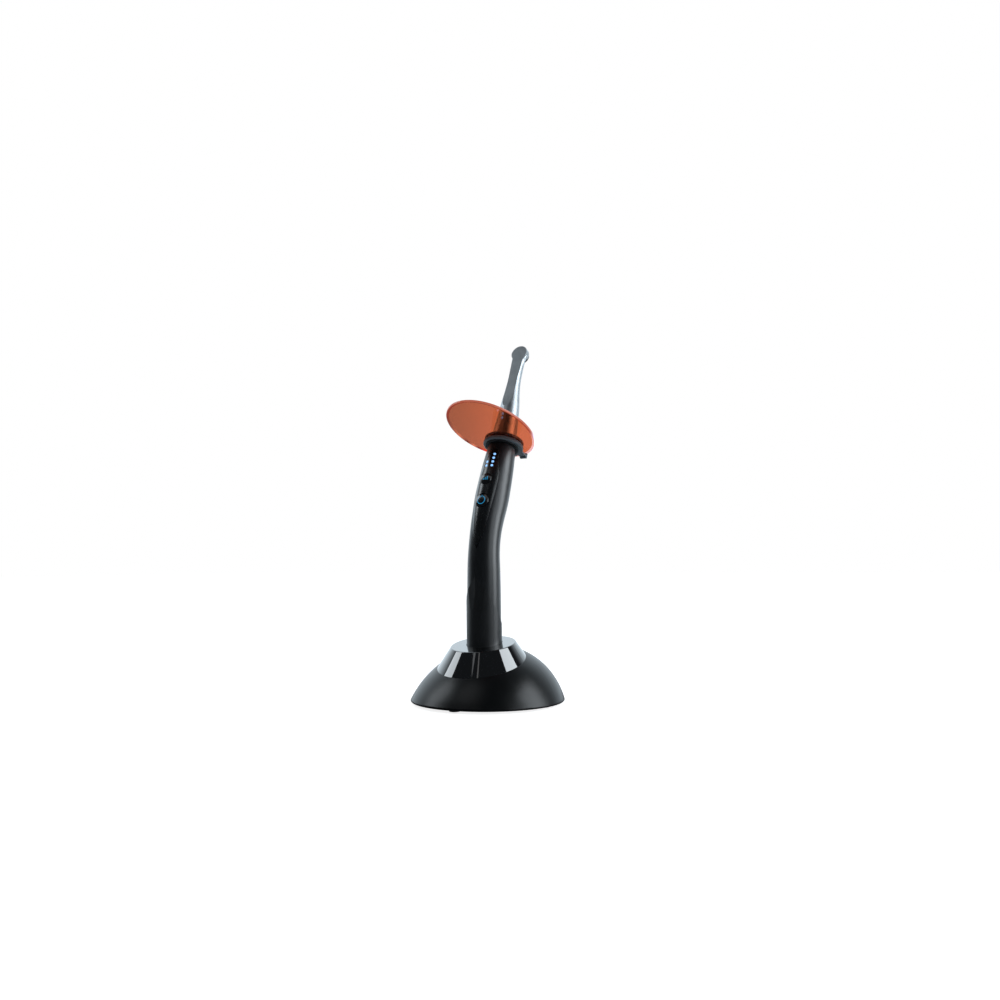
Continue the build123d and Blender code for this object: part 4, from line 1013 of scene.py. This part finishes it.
@dataclass
class Studio:
    """Pale floor, soft lamps, white surround and the camera of the photograph."""

    aim: Vector = field(default_factory=lambda: Vector((0.0, 0.0, 0.12)))
    camera_turn: float = 30.0
    camera_distance: float = 0.7329
    camera_height: float = 0.11043
    camera_lens: float = 34.375
    camera_shift: tuple[float, float] = (0.01342, 0.05863)
    camera_roll: float = -0.44
    camera_sensor: float = 36.0
    camera_near: float = 0.01
    front_shade: Color = (0.03, 0.034, 0.038)
    back_shade: Color = (0.98, 1.12, 1.22)
    world_span: tuple[float, float] = (0.25, 0.85)
    floor_span: tuple[float, float] = (-0.1, 1.2)
    floor_size: float = 12.0
    floor_grain: float = 0.02
    floor_tones: tuple[float, float] = (0.90, 0.92)
    floor_glow: float = 0.85
    lamps: tuple[Softbox, ...] = (
        Softbox(
            "right_box",
            azimuth=112.0, elevation=22.0, distance=1.3,
            width=0.66, height=1.5, brightness=3.6, color=(0.88, 0.95, 1.0),
        ),
        Softbox(
            "side_box",
            azimuth=78.0, elevation=14.0, distance=1.2,
            width=0.5, height=1.0, brightness=1.1, color=(0.86, 0.94, 1.0),
        ),
        Softbox(
            "left_box",
            azimuth=-75.0, elevation=36.0, distance=1.2,
            width=0.40, height=0.6, brightness=2.6, color=(0.88, 0.95, 1.0),
        ),
        Softbox(
            "head_box",
            azimuth=-28.0, elevation=62.0, distance=1.2,
            width=0.45, height=0.5, brightness=0.45, color=(0.93, 0.97, 1.0),
        ),
        Softbox(
            "front_strip",
            azimuth=4.0, elevation=52.0, distance=1.2,
            width=0.05, height=0.5, brightness=0.4,
        ),
    )

    def back_way(self) -> Vector:
        """Direction from the camera to behind the object."""
        turn = math.radians(self.camera_turn)
        return Vector((-math.sin(turn), math.cos(turn), 0.0))

    def shade_by_side(
        self, tree: bpy.types.NodeTree, place: bpy.types.NodeSocket, span: tuple[float, float]
    ) -> bpy.types.NodeSocket:
        """Colour that runs from the dark front of the studio to its bright back.

        Args:
            tree: node tree to build in.
            place: direction or position socket.
            span: values along the back direction where the dark ends and the bright begins.

        Returns:
            The colour socket.
        """
        along = tree.nodes.new("ShaderNodeVectorMath")
        along.operation = "DOT_PRODUCT"
        along.inputs[1].default_value = self.back_way()
        tree.links.new(place, along.inputs[0])
        ramp = tree.nodes.new("ShaderNodeMapRange")
        ramp.interpolation_type = "SMOOTHSTEP"
        ramp.inputs["From Min"].default_value, ramp.inputs["From Max"].default_value = span
        tree.links.new(along.outputs["Value"], ramp.inputs["Value"])
        mix = tree.nodes.new("ShaderNodeMix")
        mix.data_type = "RGBA"
        mix.inputs["A"].default_value = (*self.front_shade, 1.0)
        mix.inputs["B"].default_value = (*self.back_shade, 1.0)
        tree.links.new(ramp.outputs["Result"], mix.inputs["Factor"])
        return mix.outputs["Result"]

    def seen_white(self, tree: bpy.types.NodeTree) -> bpy.types.NodeSocket:
        """Share that is 1 for what is seen straight or through clear plastic, and 0 in reflections.

        Args:
            tree: node tree to build in.

        Returns:
            The share's socket.
        """
        rays = tree.nodes.new("ShaderNodeLightPath")
        no_mirror = tree.nodes.new("ShaderNodeMath")
        no_mirror.operation = "LESS_THAN"
        no_mirror.inputs[1].default_value = 0.5
        tree.links.new(rays.outputs["Glossy Depth"], no_mirror.inputs[0])
        through = tree.nodes.new("ShaderNodeMath")
        through.operation = "MULTIPLY"
        tree.links.new(rays.outputs["Is Transmission Ray"], through.inputs[0])
        tree.links.new(no_mirror.outputs["Value"], through.inputs[1])
        seen = tree.nodes.new("ShaderNodeMath")
        seen.operation = "MAXIMUM"
        tree.links.new(rays.outputs["Is Camera Ray"], seen.inputs[0])
        tree.links.new(through.outputs["Value"], seen.inputs[1])
        return seen.outputs["Value"]

    def build_world(self) -> None:
        """Makes a surround that is white to the eye and shaded in reflections."""
        world = bpy.data.worlds.new("surround")
        world.use_nodes = True
        bpy.context.scene.world = world
        tree = world.node_tree
        tree.nodes.clear()
        place = tree.nodes.new("ShaderNodeTexCoord")
        shaded_side = tree.nodes.new("ShaderNodeBackground")
        side_shade = self.shade_by_side(tree, place.outputs["Generated"], self.world_span)
        tree.links.new(side_shade, shaded_side.inputs["Color"])
        white = tree.nodes.new("ShaderNodeBackground")
        white.inputs["Color"].default_value = (1.0, 1.0, 1.0, 1.0)
        mix = tree.nodes.new("ShaderNodeMixShader")
        tree.links.new(self.seen_white(tree), mix.inputs["Fac"])
        tree.links.new(shaded_side.outputs["Background"], mix.inputs[1])
        tree.links.new(white.outputs["Background"], mix.inputs[2])
        output = tree.nodes.new("ShaderNodeOutputWorld")
        tree.links.new(mix.outputs["Shader"], output.inputs["Surface"])

    def build_floor(self) -> bpy.types.Object:
        """Lays the white floor, which keeps a faint shadow under the base.

        Returns:
            The floor.
        """
        MeshHand.clear()
        bpy.ops.mesh.primitive_plane_add(size=self.floor_size, location=(0.0, 0.0, 0.0))
        hand = MeshHand("studio_floor")
        bench = NodeBench("floor_white")
        grain = bench.noise(self.floor_grain, 2.0)
        darker, paler = ((tone, tone, tone) for tone in self.floor_tones)
        colour = bench.tint(bench.span(grain, 0.0, 1.0), darker, paler)
        bench.join(colour, bench.shader.inputs["Base Color"])
        bench.shader.inputs["Roughness"].default_value = 1.0
        bench.shader.inputs["Specular IOR Level"].default_value = 0.0
        glow = bench.put("ShaderNodeEmission")
        glow.inputs["Strength"].default_value = self.floor_glow
        paper = bench.put("ShaderNodeAddShader")
        bench.join(bench.shader.outputs["BSDF"], paper.inputs[0])
        bench.join(glow.outputs["Emission"], paper.inputs[1])
        mirrored = bench.put("ShaderNodeEmission")
        side_shade = self.shade_by_side(bench.tree, bench.place, self.floor_span)
        bench.join(side_shade, mirrored.inputs["Color"])
        rays = bench.put("ShaderNodeLightPath")
        gloss = bench.put("ShaderNodeMixShader")
        bench.join(rays.outputs["Is Glossy Ray"], gloss.inputs["Fac"])
        bench.join(bench.shader.outputs["BSDF"], gloss.inputs[1])
        bench.join(mirrored.outputs["Emission"], gloss.inputs[2])
        clear = bench.put("ShaderNodeMixShader")
        bench.join(self.seen_white(bench.tree), clear.inputs["Fac"])
        bench.join(gloss.outputs["Shader"], clear.inputs[1])
        bench.join(paper.outputs["Shader"], clear.inputs[2])
        bench.join(clear.outputs["Shader"], bench.tree.nodes["Material Output"].inputs["Surface"])
        hand.piece.data.materials.append(bench.material)
        return hand.piece

    def build_camera(self) -> bpy.types.Object:
        """Places the camera where the photograph was taken from.

        Returns:
            The camera.
        """
        data = bpy.data.cameras.new("photo_camera")
        data.lens = self.camera_lens
        data.sensor_width = self.camera_sensor
        data.shift_x, data.shift_y = self.camera_shift
        data.clip_start = self.camera_near
        camera = bpy.data.objects.new("photo_camera", data)
        back = self.back_way()
        camera.location = -back * self.camera_distance + Vector((0.0, 0.0, self.camera_height))
        camera.rotation_mode = "QUATERNION"
        roll = Quaternion((0.0, 0.0, 1.0), math.radians(self.camera_roll))
        camera.rotation_quaternion = back.to_track_quat("-Z", "Y") @ roll
        bpy.context.scene.collection.objects.link(camera)
        bpy.context.scene.camera = camera
        return camera

    def build(self) -> None:
        """Sets up the whole studio."""
        self.build_camera()
        self.build_world()
        self.build_floor()
        for lamp in self.lamps:
            lamp.light(self.aim)
        bpy.context.scene.view_settings.view_transform = "Standard"


def main() -> None:
    """Builds and dresses every sub-assembly, then the studio."""
    logging.basicConfig(level=logging.INFO, format="%(message)s")
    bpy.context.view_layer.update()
    book = FinishBook()
    for part in (ChargingBase(), Grip(), LightHead(), GlareShield()):
        part.dress(book)
        log.info("finished %s", type(part).__name__)
    Studio().build()
    MeshHand.clear()


if __name__ == "__main__":
    main()
